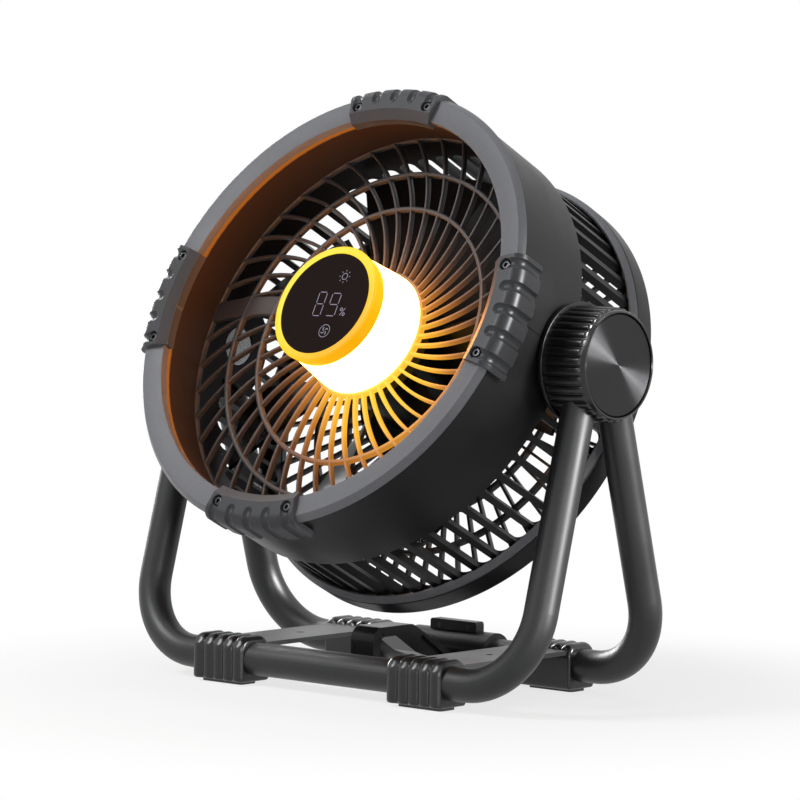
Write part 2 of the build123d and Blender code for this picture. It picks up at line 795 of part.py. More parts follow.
with BuildPart() as battery_tray:
    with BuildSketch(HEAD.offset(hub_inside_a - fit_gap)):
        Rectangle(cell_row + 2 * tray_edge, cell_length - 2 * tray_end)
    extrude(amount=-tray_depth)
    with BuildSketch(CELL_PLANE):
        with GridLocations(cell_pitch, 1, cell_count, 1):
            Circle(cell_r + fit_gap)
    extrude(amount=cell_length, mode=Mode.SUBTRACT)
keep(battery_tray, "battery_tray")

with BuildPart() as charge_board:
    with BuildSketch(HEAD.offset(board_back_a)):
        with Locations((0, -board_place)):
            Rectangle(board_width, board_height)
    extrude(amount=board_thick)
keep(charge_board, "charge_board")

with BuildPart() as charge_socket:
    with BuildSketch(HEAD.offset(board_back_a - fit_gap)):
        with Locations((0, -board_place)):
            SlotOverall(usb_width + 2 * usb_wall, usb_height + 2 * usb_wall)
    extrude(amount=-usb_depth)
    with BuildSketch(HEAD.offset(board_back_a - fit_gap - usb_wall)):
        with Locations((0, -board_place)):
            SlotOverall(usb_width, usb_height)
    extrude(amount=-usb_depth, mode=Mode.SUBTRACT)
keep(charge_socket, "charge_socket")

switch_back_a = board_back_a - switch_height
with BuildPart() as switch_board:
    with BuildSketch(HEAD.offset(board_front_a)):
        with Locations((0, board_place)):
            Rectangle(board_width, board_height)
    extrude(amount=-board_thick)
    with BuildSketch(HEAD.offset(board_back_a)):
        with Locations((-button_spacing / 2, board_place), (button_spacing / 2, board_place)):
            Rectangle(switch_size, switch_size)
    extrude(amount=-switch_height)
keep(switch_board, "switch_board")

flange_back_a = cover_front_a + face_gap
stem_front_a = switch_back_a - button_rest_gap - button_travel
for name, button_x in (("fan_button", -button_spacing / 2), ("light_button", button_spacing / 2)):
    with BuildPart() as button:
        with BuildSketch(HEAD.offset(cover_back_a - button_proud)):
            with Locations((button_x, board_place)):
                Circle(button_r - face_gap)
        extrude(amount=flange_back_a - cover_back_a + button_proud)
        with BuildSketch(HEAD.offset(flange_back_a)):
            with Locations((button_x, board_place)):
                Circle(button_r + button_flange)
        extrude(amount=button_flange_thick)
        with BuildSketch(HEAD.offset(flange_back_a)):
            with Locations((button_x, board_place)):
                Circle(button_stem_r)
        extrude(amount=stem_front_a - flange_back_a)
    keep(button, name)

# ================================================================== motor
bearing_tube_r = bearing_r + bearing_wall
bearing_seat_r = bearing_r + face_gap
stator_back_a = motor_flange_a + stator_place
yoke_inner_r = bearing_tube_r + fit_gap
yoke_r = yoke_inner_r + stator_yoke

motor_mount_points = [
    (bearing_seat_r, motor_flange_a),
    (bearing_seat_r, tube_front_a),
    (bearing_tube_r, tube_front_a),
    (bearing_tube_r, motor_flange_a),
    (motor_flange_r, motor_flange_a),
    (motor_flange_r, motor_back_a),
    (0, motor_back_a),
    (0, motor_flange_a),
]
keep(turned(head_profile(), HEAD_AXIS, motor_mount_points), "motor_mount")

with BuildPart() as stator_core:
    with BuildSketch(HEAD.offset(stator_back_a)):
        Circle(stator_r)
        Circle(stator_r - tooth_tip, mode=Mode.SUBTRACT)
        with PolarLocations(stator_r, stator_teeth, start_angle=180 / stator_teeth):
            Rectangle(3 * tooth_tip, tooth_slot, mode=Mode.SUBTRACT)
        Circle(yoke_r)
        with PolarLocations((stator_r - tooth_tip / 2) / 2, stator_teeth):
            Rectangle(stator_r - tooth_tip / 2, tooth_width)
        Circle(yoke_inner_r, mode=Mode.SUBTRACT)
    extrude(amount=stator_length)
keep(stator_core, "stator_core")

coil_inner_r = yoke_r + 2 * fit_gap
coil_width = tooth_width + 2 * coil_build
coil_outer_r = sqrt((stator_r - tooth_tip) ** 2 - (coil_width / 2) ** 2) - fit_gap
coil_length = coil_outer_r - coil_inner_r
coil_middle_r = (coil_inner_r + coil_outer_r) / 2
with BuildPart() as stator_coils:
    with BuildSketch(HEAD.offset(stator_back_a - coil_build)):
        with PolarLocations(coil_middle_r, stator_teeth):
            Rectangle(coil_length, coil_width)
    extrude(amount=stator_length + 2 * coil_build)
    with BuildSketch(HEAD.offset(stator_back_a - fit_gap)):
        with PolarLocations(coil_middle_r, stator_teeth):
            Rectangle(coil_length + 2 * fit_gap, tooth_width + 2 * fit_gap)
    extrude(amount=stator_length + 2 * fit_gap, mode=Mode.SUBTRACT)
keep(stator_coils, "stator_coils")

bearing_places = (motor_flange_a + face_gap, tube_front_a - bearing_width - face_gap)
with BuildPart() as motor_bearings:
    for bearing_a in bearing_places:
        with BuildSketch(HEAD.offset(bearing_a)):
            Circle(bearing_r)
            Circle(shaft_r + running_gap, mode=Mode.SUBTRACT)
        extrude(amount=bearing_width)
keep(motor_bearings, "motor_bearings")

magnet_r = stator_r + rotor_gap
bell_inner_r = magnet_r + magnet_thick + face_gap
bell_back_a = stator_back_a - bell_skirt
rotor_bore_r = shaft_r + face_gap

bell_points = [
    (rotor_bore_r, bell_inside_a),
    (bell_inner_r, bell_inside_a),
    (bell_inner_r, bell_back_a),
    (bell_inner_r + bell_wall, bell_back_a),
    (bell_inner_r + bell_wall, bell_front_a),
    (bell_boss_r, bell_front_a),
    (bell_boss_r, bell_boss_front_a),
    (rotor_bore_r, bell_boss_front_a),
]
keep(turned(head_profile(), HEAD_AXIS, bell_points), "rotor_bell")

with BuildPart() as rotor_magnets:
    with BuildSketch(HEAD.offset(stator_back_a)):
        Circle(magnet_r + magnet_thick)
        Circle(magnet_r, mode=Mode.SUBTRACT)
        with PolarLocations(magnet_r, magnet_count):
            Rectangle(3 * magnet_thick, magnet_slot, mode=Mode.SUBTRACT)
    extrude(amount=stator_length)
keep(rotor_magnets, "rotor_magnets")

# ================================================================== blades
blade_a = fan_front_a - blade_back
shaft_back_a = motor_flange_a + turning_gap

with BuildPart(HEAD) as fan_blades:
    with BuildSketch(head_profile()):
        with BuildLine():
            Polyline(
                (rotor_bore_r, fan_boss_back_a),
                (fan_boss_r, fan_boss_back_a),
                (fan_boss_r, fan_front_inside_a),
                (fan_hub_r - fan_hub_wall, fan_front_inside_a),
                (fan_hub_r - fan_hub_wall, fan_back_a),
                (fan_hub_r, fan_back_a),
                (fan_hub_r, fan_front_a),
                (rotor_bore_r, fan_front_a),
                close=True,
            )
        make_face()
    revolve(axis=HEAD_AXIS)
    for blade in range(blade_count):
        radial = head_profile(360 * blade / blade_count).x_dir
        middle = HEAD.origin + HEAD.z_dir * blade_a
        for share in (0.0, 0.5, 1.0):
            station_r = fan_hub_r - fan_hub_wall / 2 + share * (blade_tip_r - fan_hub_r + fan_hub_wall)
            pitch = blade_root_pitch + share * (blade_tip_pitch - blade_root_pitch)
            chord = blade_root_chord + share * (blade_tip_chord - blade_root_chord)
            station = Plane(middle + radial * station_r, x_dir=HEAD.z_dir.cross(radial), z_dir=radial)
            with BuildSketch(station):
                Rectangle(chord, blade_thick, rotation=pitch)
        loft()
    with BuildSketch(HEAD.offset(fan_back_a)):
        Circle(blade_tip_r)
    extrude(amount=fan_front_a - fan_back_a, mode=Mode.INTERSECT)
keep(fan_blades, "fan_blades")

with BuildPart() as motor_shaft:
    with BuildSketch(HEAD.offset(shaft_back_a)):
        Circle(shaft_r)
    extrude(amount=shaft_front_a - shaft_back_a)
keep(motor_shaft, "motor_shaft")

with BuildPart() as blade_nut:
    with BuildSketch(HEAD.offset(nut_back_a)):
        RegularPolygon(nut_flats / 2, 6, major_radius=False)
        Circle(rotor_bore_r, mode=Mode.SUBTRACT)
    extrude(amount=nut_height)
keep(blade_nut, "blade_nut")

# ================================================================== tilt pivot, in the head
boss_face_x = housing_r + boss_proud
washer_r = boss_r - washer_margin
flange_x = cage_inner_r + axle_seat
hub_back_x = boss_face_x + washer_thick + 2 * face_gap
hub_floor_x = hub_back_x + hub_floor
hub_face_x = hub_back_x + hub_length
spring_x = hub_floor_x + face_gap
nut_x = spring_x + spring_washer_thick + face_gap
axle_end_x = nut_x + axle_nut_height + axle_end

for name, side in SIDES.items():
    with BuildPart() as pivot_boss:
        with BuildSketch(side_plane(side, opening_r)):
            Circle(boss_r)
        extrude(amount=boss_face_x - opening_r)
        with BuildSketch(HEAD.offset(-2 * boss_r)):
            Circle(housing_inner_r)
        extrude(amount=4 * boss_r, mode=Mode.SUBTRACT)
        with BuildSketch(side_plane(side, opening_r)):
            Circle(boss_plug_r)
        extrude(amount=boss_face_x - opening_r)
        with BuildSketch(HEAD.offset(-2 * boss_r)):
            Circle(cage_inner_r)
        extrude(amount=4 * boss_r, mode=Mode.SUBTRACT)
        with BuildSketch(side_plane(side, opening_r)):
            Circle(axle_r + fit_gap)
        extrude(amount=bezel_r - opening_r, mode=Mode.SUBTRACT)
        with BuildSketch(side_plane(side, opening_r)):
            Circle(axle_flange_r + fit_gap)
        extrude(amount=flange_x + axle_flange + fit_gap - opening_r, mode=Mode.SUBTRACT)
    keep(pivot_boss, f"{name}_pivot_boss")

with BuildPart() as pivot_axles:
    for side in SIDES.values():
        with BuildSketch(side_plane(side, flange_x)):
            Circle(axle_flange_r)
        extrude(amount=axle_flange)
        with BuildSketch(side_plane(side, flange_x)):
            Circle(axle_r)
        extrude(amount=hub_floor_x - flange_x)
        with BuildSketch(side_plane(side, flange_x)):
            Circle(axle_thread_r)
        extrude(amount=axle_end_x - flange_x)
keep(pivot_axles, "pivot_axles")

with BuildPart() as friction_washers:
    for side in SIDES.values():
        with BuildSketch(side_plane(side, boss_face_x + face_gap)):
            Circle(washer_r)
            Circle(axle_r + fit_gap, mode=Mode.SUBTRACT)
        extrude(amount=washer_thick)
keep(friction_washers, "friction_washers")

with BuildPart() as spring_washers:
    for side in SIDES.values():
        with BuildSketch(side_plane(side, spring_x)):
            Circle(spring_washer_r)
            Circle(axle_thread_r + fit_gap, mode=Mode.SUBTRACT)
        extrude(amount=spring_washer_thick)
keep(spring_washers, "spring_washers")

with BuildPart() as axle_nuts:
    for side in SIDES.values():
        with BuildSketch(side_plane(side, nut_x)):
            RegularPolygon(axle_nut_flats / 2, 6, major_radius=False)
            Circle(axle_thread_r + face_gap, mode=Mode.SUBTRACT)
        extrude(amount=axle_nut_height)
keep(axle_nuts, "axle_nuts")

# ================================================================== stand: tubes
foot_z = foot_clear + tube_r
leg_x = bumper_r + leg_gap + tube_r
leg_rise = pivot_height - foot_z
leg_lean = foot_y - leg_top_y
leg_length = hypot(leg_rise, leg_lean) - leg_stop


def leg_plane(end):
    """Plane of one bent tube: local y runs up its legs. end is -1 for front, 1 for rear."""
    origin = Vector(0, pivot_y + end * foot_y, foot_z)
    up = Vector(0, -end * leg_lean, leg_rise).normalized()
    return Plane(origin=origin, x_dir=(1, 0, 0), z_dir=Vector(1, 0, 0).cross(up))


def leg_screw_plane(side):
    """Plane of a leg screw's seat, on the rear of a front leg, facing away from the leg."""
    leg = leg_plane(ENDS["front"])
    height = (leg_screw_z - foot_z) / leg.y_dir.Z
    seat = leg.from_local_coords((side * leg_x, height, -tube_r))
    return Plane(seat, x_dir=(1, 0, 0), z_dir=-leg.z_dir)


ENDS = {"front": -1, "rear": 1}
for name, end in ENDS.items():
    with BuildPart() as tube:
        with BuildLine(leg_plane(end)) as tube_path:
            FilletPolyline(
                (-leg_x, leg_length), (-leg_x, 0), (leg_x, 0), (leg_x, leg_length), radius=bend_r
            )
        with BuildSketch(Plane(tube_path.wire() @ 0, z_dir=tube_path.wire() % 0)):
            Circle(tube_r)
            Circle(tube_r - tube_wall, mode=Mode.SUBTRACT)
        sweep(path=tube_path.wire())
        if name == "front":
            for side in SIDES.values():
                with BuildSketch(leg_screw_plane(side)):
                    Circle(leg_screw_shank_r + fit_gap)
                extrude(amount=-tube_r, mode=Mode.SUBTRACT)
    keep(tube, f"{name}_tube")

with BuildPart() as leg_screws:
    for side in SIDES.values():
        with BuildSketch(leg_screw_plane(side).offset(face_gap)):
            Circle(leg_screw_r)
        extrude(amount=leg_screw_head)
        with BuildSketch(leg_screw_plane(side).offset(face_gap)):
            Circle(leg_screw_shank_r)
        extrude(amount=-leg_screw_length)
keep(leg_screws, "leg_screws")

# ================================================================== stand: hubs and caps
hub_r = hub_rim_r - hub_rim_step
hub_end_r = hub_r - hub_taper
hub_face_r = hub_end_r - hub_shoulder_step
cap_r = hub_face_r - cap_margin
nut_room_r = spring_washer_r + nut_room_gap
hub_rib_x = hub_back_x + hub_rim_width
hub_shoulder_x = hub_face_x - hub_shoulder
cap_back_x = hub_face_x - cap_sink - cap_thick

for name, side in SIDES.items():
    with BuildPart() as hub:
        with BuildSketch(pivot_profile(side)):
            with BuildLine():
                Polyline(
                    (axle_r + running_gap, hub_back_x),
                    (hub_rim_r, hub_back_x),
                    (hub_rim_r, hub_rib_x),
                    (hub_r, hub_rib_x),
                    (hub_end_r, hub_shoulder_x),
                    (hub_face_r, hub_face_x),
                    (cap_r + fit_gap, hub_face_x),
                    (cap_r + fit_gap, cap_back_x - fit_gap),
                    (nut_room_r, cap_back_x - fit_gap),
                    (nut_room_r, hub_floor_x),
                    (axle_r + running_gap, hub_floor_x),
                    close=True,
                )
            make_face()
        revolve(axis=PIVOT_AXIS)
        with BuildSketch(side_plane(side, hub_rib_x)):
            with PolarLocations(hub_r + hub_groove_r - hub_groove_depth, hub_rib_count):
                Circle(hub_groove_r)
        extrude(amount=hub_shoulder_x - hub_rib_x, mode=Mode.SUBTRACT)
        for end in ENDS.values():
            leg = leg_plane(end)
            socket_end = leg.from_local_coords((side * leg_x, leg_length + fit_gap, 0))
            with BuildSketch(Plane(socket_end, x_dir=(1, 0, 0), z_dir=-leg.y_dir)):
                Circle(tube_r + fit_gap)
            extrude(amount=2 * hub_rim_r, mode=Mode.SUBTRACT)
    keep(hub, f"{name}_hub")

with BuildPart() as hub_caps:
    for side in SIDES.values():
        with BuildSketch(pivot_profile(side)):
            with BuildLine():
                Polyline(
                    (0, cap_back_x),
                    (cap_r, cap_back_x),
                    (cap_r, cap_back_x + cap_thick - cap_chamfer),
                    (cap_r - cap_chamfer, cap_back_x + cap_thick),
                    (0, cap_back_x + cap_thick),
                    close=True,
                )
            make_face()
        revolve(axis=PIVOT_AXIS)
keep(hub_caps, "hub_caps")

# ================================================================== stand: feet and plates
foot_inner = tube_r + foot_inner_wall
foot_outer = tube_r + foot_outer_wall
foot_top = foot_z + tube_r + foot_top_wall
pad_x = foot_x + pad_shift
pad_width = foot_width - 2 * pad_side
plate_x = foot_x - plate_shift
plate_width = foot_width - plate_narrow
plate_top = foot_top - plate_sink
plate_end = foot_y - foot_inner + plate_seat


def foot_profile(side, end):
    """Plane across a foot block: local x points away from the pivot plane, local y up."""
    return Plane(
        (side * foot_x, pivot_y + end * foot_y, 0), x_dir=(0, end, 0), z_dir=(end, 0, 0)
    )


def foot_corners(proud):
    """Corners of a foot block's section, this far proud on its outer and top faces."""
    return [
        (-foot_inner, foot_bottom),
        (foot_outer + proud, foot_bottom),
        (foot_outer + proud, foot_top + proud),
        (-foot_inner, foot_top + proud),
    ]


for end_name, end in ENDS.items():
    for side_name, side in SIDES.items():
        with BuildPart() as foot:
            block_plane = foot_profile(side, end)
            with BuildSketch(block_plane):
                with BuildLine():
                    Polyline(*foot_corners(0), close=True)
                block_face = make_face()
                fillet(block_face.vertices().group_by(Axis.Y)[-1], foot_corner)
            extrude(amount=foot_width / 2, both=True)
            for rib in range(foot_rib_count):
                rib_x = (rib - (foot_rib_count - 1) / 2) * foot_rib_pitch
                with BuildSketch(block_plane.offset(rib_x)):
                    with BuildLine():
                        Polyline(*foot_corners(foot_rib_proud), close=True)
                    rib_face = make_face()
                    fillet(rib_face.vertices().group_by(Axis.Y)[-1], foot_corner + foot_rib_proud)
                extrude(amount=foot_rib_width / 2, both=True)
            with BuildSketch(block_plane.offset(-foot_width)):
                with Locations((0, foot_z)):
                    Circle(tube_r + fit_gap)
            extrude(amount=2 * foot_width, mode=Mode.SUBTRACT)
            with BuildSketch(Plane.XY):
                with Locations((side * pad_x, pivot_y + end * foot_y)):
                    RectangleRounded(
                        pad_width + 2 * fit_gap, pad_depth + 2 * fit_gap, pad_corner + fit_gap
                    )
            extrude(amount=pad_thick + fit_gap, mode=Mode.SUBTRACT)
            with BuildSketch(Plane.XY.offset(plate_top - plate_thick - fit_gap)):
                with Locations((side * plate_x, pivot_y)):
                    Rectangle(plate_width + 2 * fit_gap, 2 * (plate_end + fit_gap))
            extrude(amount=plate_thick + 2 * fit_gap, mode=Mode.SUBTRACT)
        keep(foot, f"{end_name}_{side_name}_foot")

with BuildPart() as sole_pads:
    with BuildSketch(Plane.XY):
        with Locations((0, pivot_y)):
            with GridLocations(2 * pad_x, 2 * foot_y, 2, 2):
                RectangleRounded(pad_width, pad_depth, pad_corner)
    extrude(amount=pad_thick)
keep(sole_pads, "sole_pads")

for name, side in SIDES.items():
    with BuildPart() as base_plate:
        with BuildSketch(Plane.XY.offset(plate_top - plate_thick)):
            with Locations((side * plate_x, pivot_y)):
                Rectangle(plate_width, 2 * plate_end)
                Circle(plate_hole_r, mode=Mode.SUBTRACT)
        extrude(amount=plate_thick)
    keep(base_plate, f"{name}_base_plate")

# ================================================================== hanging hook
HOOK = Plane(origin=(0, pivot_y, 0), x_dir=(0, 1, 0), z_dir=(1, 0, 0))
TAB = Plane((0, pivot_y + foot_y, foot_z), x_dir=(1, 0, 0), z_dir=(0, -1, 0))
sleeve_bore_r = tube_r + running_gap
sleeve_r = sleeve_bore_r + sleeve_wall
tip_inner_y = hook_tip_y + hook_tip_thick
hook_mouth_top = hook_top - hook_back
hook_root_y = foot_y - hook_root_gap


def hook_sleeve_and_tab():
    """The whole sleeve with its thumb tab, before it is parted down the middle."""
    with BuildPart() as whole:
        with BuildSketch(HOOK):
            with Locations((foot_y, foot_z)):
                Circle(sleeve_r)
        extrude(amount=sleeve_length / 2, both=True)
        with BuildSketch(TAB):
            with Locations((0, tab_height / 2)):
                RectangleRounded(tab_width, tab_height, tab_corner)
        extrude(amount=tab_thick / 2, both=True)
        with BuildSketch(TAB):
            with Locations((0, tab_screw_height)):
                with GridLocations(tab_screw_spacing, 1, 2, 1):
                    Circle(tab_screw_r + face_gap)
        extrude(amount=tab_thick, both=True, mode=Mode.SUBTRACT)
    return whole


with BuildPart() as hanging_hook:
    add(hook_sleeve_and_tab().part)
    with BuildSketch(HOOK):
        with BuildLine():
            FilletPolyline(
                (hook_tip_y, hook_tip_z),
                (tip_inner_y, hook_tip_z),
                (tip_inner_y, hook_mouth_top),
                (hook_mouth_y, hook_mouth_top),
                hook_mouth_back,
                (hook_root_y, hook_root_bottom),
                (hook_root_y, hook_root_top),
                (hook_bend_y, hook_top),
                (hook_tip_y, hook_top),
                radius=[
                    tip_round,
                    tip_round,
                    mouth_round,
                    mouth_round,
                    mouth_round,
                    tip_round,
                    tip_round,
                    hook_bend_round,
                    hook_round,
                ],
                close=True,
            )
        make_face()
    extrude(amount=hook_width / 2, both=True)
    for face_x in (-hook_width / 2, hook_width / 2):
        with BuildSketch(HOOK.offset(face_x)):
            with BuildLine():
                Line(pocket_start, pocket_end)
            trace(line_width=pocket_width)
        extrude(amount=pocket_depth, both=True, mode=Mode.SUBTRACT)
    with BuildSketch(HOOK):
        with Locations((foot_y, foot_z)):
            Circle(sleeve_bore_r)
    extrude(amount=sleeve_length, both=True, mode=Mode.SUBTRACT)
    split(bisect_by=TAB.offset(fit_gap / 2), keep=Keep.TOP)
keep(hanging_hook, "hanging_hook")

with BuildPart() as hook_clamp:
    add(hook_sleeve_and_tab().part)
    with BuildSketch(HOOK):
        with Locations((foot_y, foot_z)):
            Circle(sleeve_bore_r)
    extrude(amount=sleeve_length, both=True, mode=Mode.SUBTRACT)
    split(bisect_by=TAB.offset(-fit_gap / 2), keep=Keep.BOTTOM)
keep(hook_clamp, "hook_clamp")

with BuildPart() as hook_screws:
    with BuildSketch(TAB.offset(-tab_thick / 2 - face_gap)):
        with Locations((0, tab_screw_height)):
            with GridLocations(tab_screw_spacing, 1, 2, 1):
                Circle(tab_screw_r)
    extrude(amount=tab_thick)
    with BuildSketch(TAB.offset(-tab_thick / 2 - face_gap)):
        with Locations((0, tab_screw_height)):
            with GridLocations(tab_screw_spacing, 1, 2, 1):
                Circle(tab_screw_head_r)
    extrude(amount=-tab_screw_head)
keep(hook_screws, "hook_screws")
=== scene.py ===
"""Looks of a portable camping fan: finishes, detailed surfaces, studio and camera.

Sizes in the classes are millimetres and turn into metres as a mesh is made. The head has its
own axes: x towards the right-hand hub, q up along its face, and a forwards along the fan's axis,
all counted from the tilt pivot. Angles about the fan's axis run from x towards q.
"""

import json
import logging
from collections.abc import Callable, Iterable
from dataclasses import dataclass, field
from enum import Enum
from math import cos, radians, sin

import bmesh
import bpy
import numpy as np
from mathutils import Matrix, Vector


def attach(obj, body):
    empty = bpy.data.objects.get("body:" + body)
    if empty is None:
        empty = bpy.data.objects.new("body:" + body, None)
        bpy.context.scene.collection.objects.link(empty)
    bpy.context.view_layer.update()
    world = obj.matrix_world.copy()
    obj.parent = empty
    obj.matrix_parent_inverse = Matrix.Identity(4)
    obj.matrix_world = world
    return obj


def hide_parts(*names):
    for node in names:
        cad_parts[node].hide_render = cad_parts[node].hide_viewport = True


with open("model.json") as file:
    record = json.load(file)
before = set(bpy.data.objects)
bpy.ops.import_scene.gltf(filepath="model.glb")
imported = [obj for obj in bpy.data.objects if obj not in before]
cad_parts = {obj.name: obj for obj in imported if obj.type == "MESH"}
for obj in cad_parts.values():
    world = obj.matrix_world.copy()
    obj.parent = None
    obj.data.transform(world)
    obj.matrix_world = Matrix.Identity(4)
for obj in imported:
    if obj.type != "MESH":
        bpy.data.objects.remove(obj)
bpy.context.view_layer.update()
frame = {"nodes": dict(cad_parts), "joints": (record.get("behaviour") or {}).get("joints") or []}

LOG = logging.getLogger("camping_fan")
MM = 0.001
TINY = 1e-6  # millimetres within which two points are one
TOUCH = 0.01  # millimetres within which a point lies on a face
Array = np.ndarray
Node = bpy.types.Node
Socket = bpy.types.NodeSocket
Tree = bpy.types.NodeTree
Placer = Callable[[Array, Array, Array], Array]
Point = tuple[float, float]
Triple = tuple[float, float, float]
Stops = tuple[tuple[float, str], ...]  # places from 0 to 1 with hex colours


# ------------------------------------------------------------------ places
class Side(Enum):
    """The two sides of the fan as seen from the front."""

    LEFT = -1
    RIGHT = 1


class End(Enum):
    """The two bent tubes of the stand, by the side of the pivot on which they stand."""

    FRONT = -1
    REAR = 1


class Corner(Enum):
    """The four bumpers, by the angle of their middle about the fan's axis."""

    RIGHT = 0.0
    TOP = 90.0
    LEFT = 180.0
    BOTTOM = 270.0


ACROSS = np.array([1.0, 0.0, 0.0])  # the way to the right-hand hub


@dataclass(frozen=True)
class HeadAxes:
    """Turns places in the head into places in the shared frame."""

    pivot: Array
    forward: Array

    @property
    def up(self) -> Array:
        """Direction up along the head's face, square to the fan's axis."""
        return np.cross(self.forward, ACROSS)

    def place(self, x: Array, q: Array, a: Array) -> Array:
        """Points in metres: pivot + x·across + q·up + a·forward.

        Args:
            x: Distance towards the right-hand hub, in millimetres.
            q: Distance up along the face, in millimetres.
            a: Distance along the fan's axis, in millimetres.

        Returns:
            An array of the same shape with a last axis of three.
        """
        x, q, a = np.broadcast_arrays(x, q, a)
        reach = x[..., None] * ACROSS + q[..., None] * self.up + a[..., None] * self.forward
        return self.pivot + reach * MM

    def polar(self, radius: Array, angle: Array, a: Array) -> Array:
        """Points from a radius, an angle and a place on the axis: x = r·cos and q = r·sin."""
        return self.place(radius * np.cos(angle), radius * np.sin(angle), a)

    def hub(self, side: Side) -> Placer:
        """A placer about the tilt axis: radius, angle from +Z towards -Y, distance across.

        Args:
            side: The hub's side of the fan.

        Returns:
            The placer, which turns the three into metres.
        """

        def place(radius: Array, angle: Array, x: Array) -> Array:
            """Points in metres: across by x, -Y by r·sin and +Z by r·cos.

            Args:
                radius: Distance from the tilt axis.
                angle: Angle in radians.
                x: Distance across from the middle.

            Returns:
                The points, with a last axis of three.
            """
            radius, angle, x = np.broadcast_arrays(radius, angle, x)
            parts = (side.value * x, -radius * np.sin(angle), radius * np.cos(angle))
            return self.pivot + np.stack(parts, -1) * MM

        return place


def joint(name: str) -> dict:
    """The record of one joint, by its name."""
    return next(j for j in frame["joints"] if j["name"] == name)


HEAD = HeadAxes(np.array(joint("head_tilt")["pos_m"]), np.array(joint("fan_spin")["axis"]))


def put(name: str, data: bpy.types.ID) -> bpy.types.Object:
    """Makes an object of a mesh, lamp or camera and puts it in the scene, at the origin.

    Args:
        name: The object's name.
        data: What it shows.

    Returns:
        The new object.
    """
    made = bpy.data.objects.new(name, data)
    bpy.context.scene.collection.objects.link(made)
    return made


# ------------------------------------------------------------------ nodes and colours
MIX_COLOUR_A, MIX_COLOUR_B = 6, 7  # inputs of a Mix node that share their names with others
METAL_SPECULAR = 0.5  # the shader's own default
FLECK_START, FLECK_FULL = 0.46, 0.72  # heights of the grain
JUT = {"From Min": 0.515, "From Max": 0.57, "To Max": 0.6}  # pointiness, to a share of rubbed wear and of painted highlight


def linear(colour: str) -> tuple[float, float, float, float]:
    """Linear RGBA of an sRGB hex colour, by the sRGB transfer curve.

    Args:
        colour: Six hexadecimal digits after a hash.

    Returns:
        Red, green, blue and an alpha of one.
    """
    parts = (int(colour[i : i + 2], 16) / 255 for i in (1, 3, 5))
    red, green, blue = (p / 12.92 if p <= 0.04045 else ((p + 0.055) / 1.055) ** 2.4 for p in parts)
    return (red, green, blue, 1.0)


def add_node(tree: Tree, kind: str, inputs: dict | None = None, **settings: object) -> Node:
    """Adds one node, sets its properties, and fills or links its inputs.

    Args:
        tree: The node tree that gets the node.
        kind: The node's type name after "ShaderNode".
        inputs: By input name or index, a value, a socket, or a node that stands for the first
            of its outputs in use.
        settings: Properties of the node itself.

    Returns:
        The new node.
    """
    node = tree.nodes.new(f"ShaderNode{kind}")
    for key, value in settings.items():
        setattr(node, key, value)
    for key, value in (inputs or {}).items():
        if isinstance(value, Node):
            value = next(output for output in value.outputs if output.enabled)
        if isinstance(value, Socket):
            tree.links.new(value, node.inputs[key])
        else:
            node.inputs[key].default_value = value
    return node


def set_stops(ramp: Node, stops: Stops) -> Node:
    """Gives a colour ramp its stops, and returns it.

    Args:
        ramp: The colour ramp's node.
        stops: Its stops in order.

    Returns:
        The same node.
    """
    elements = ramp.color_ramp.elements
    while len(elements) < len(stops):
        elements.new(1.0)
    for element, (place, colour) in zip(elements, stops):
        element.position = place
        element.color = linear(colour)
    return ramp


def empty_tree(owner: bpy.types.Material | bpy.types.World) -> Tree:
    """The node tree of a material or world, with nothing in it.

    Args:
        owner: The material or world.

    Returns:
        Its node tree.
    """
    owner.use_nodes = True
    owner.node_tree.nodes.clear()
    return owner.node_tree


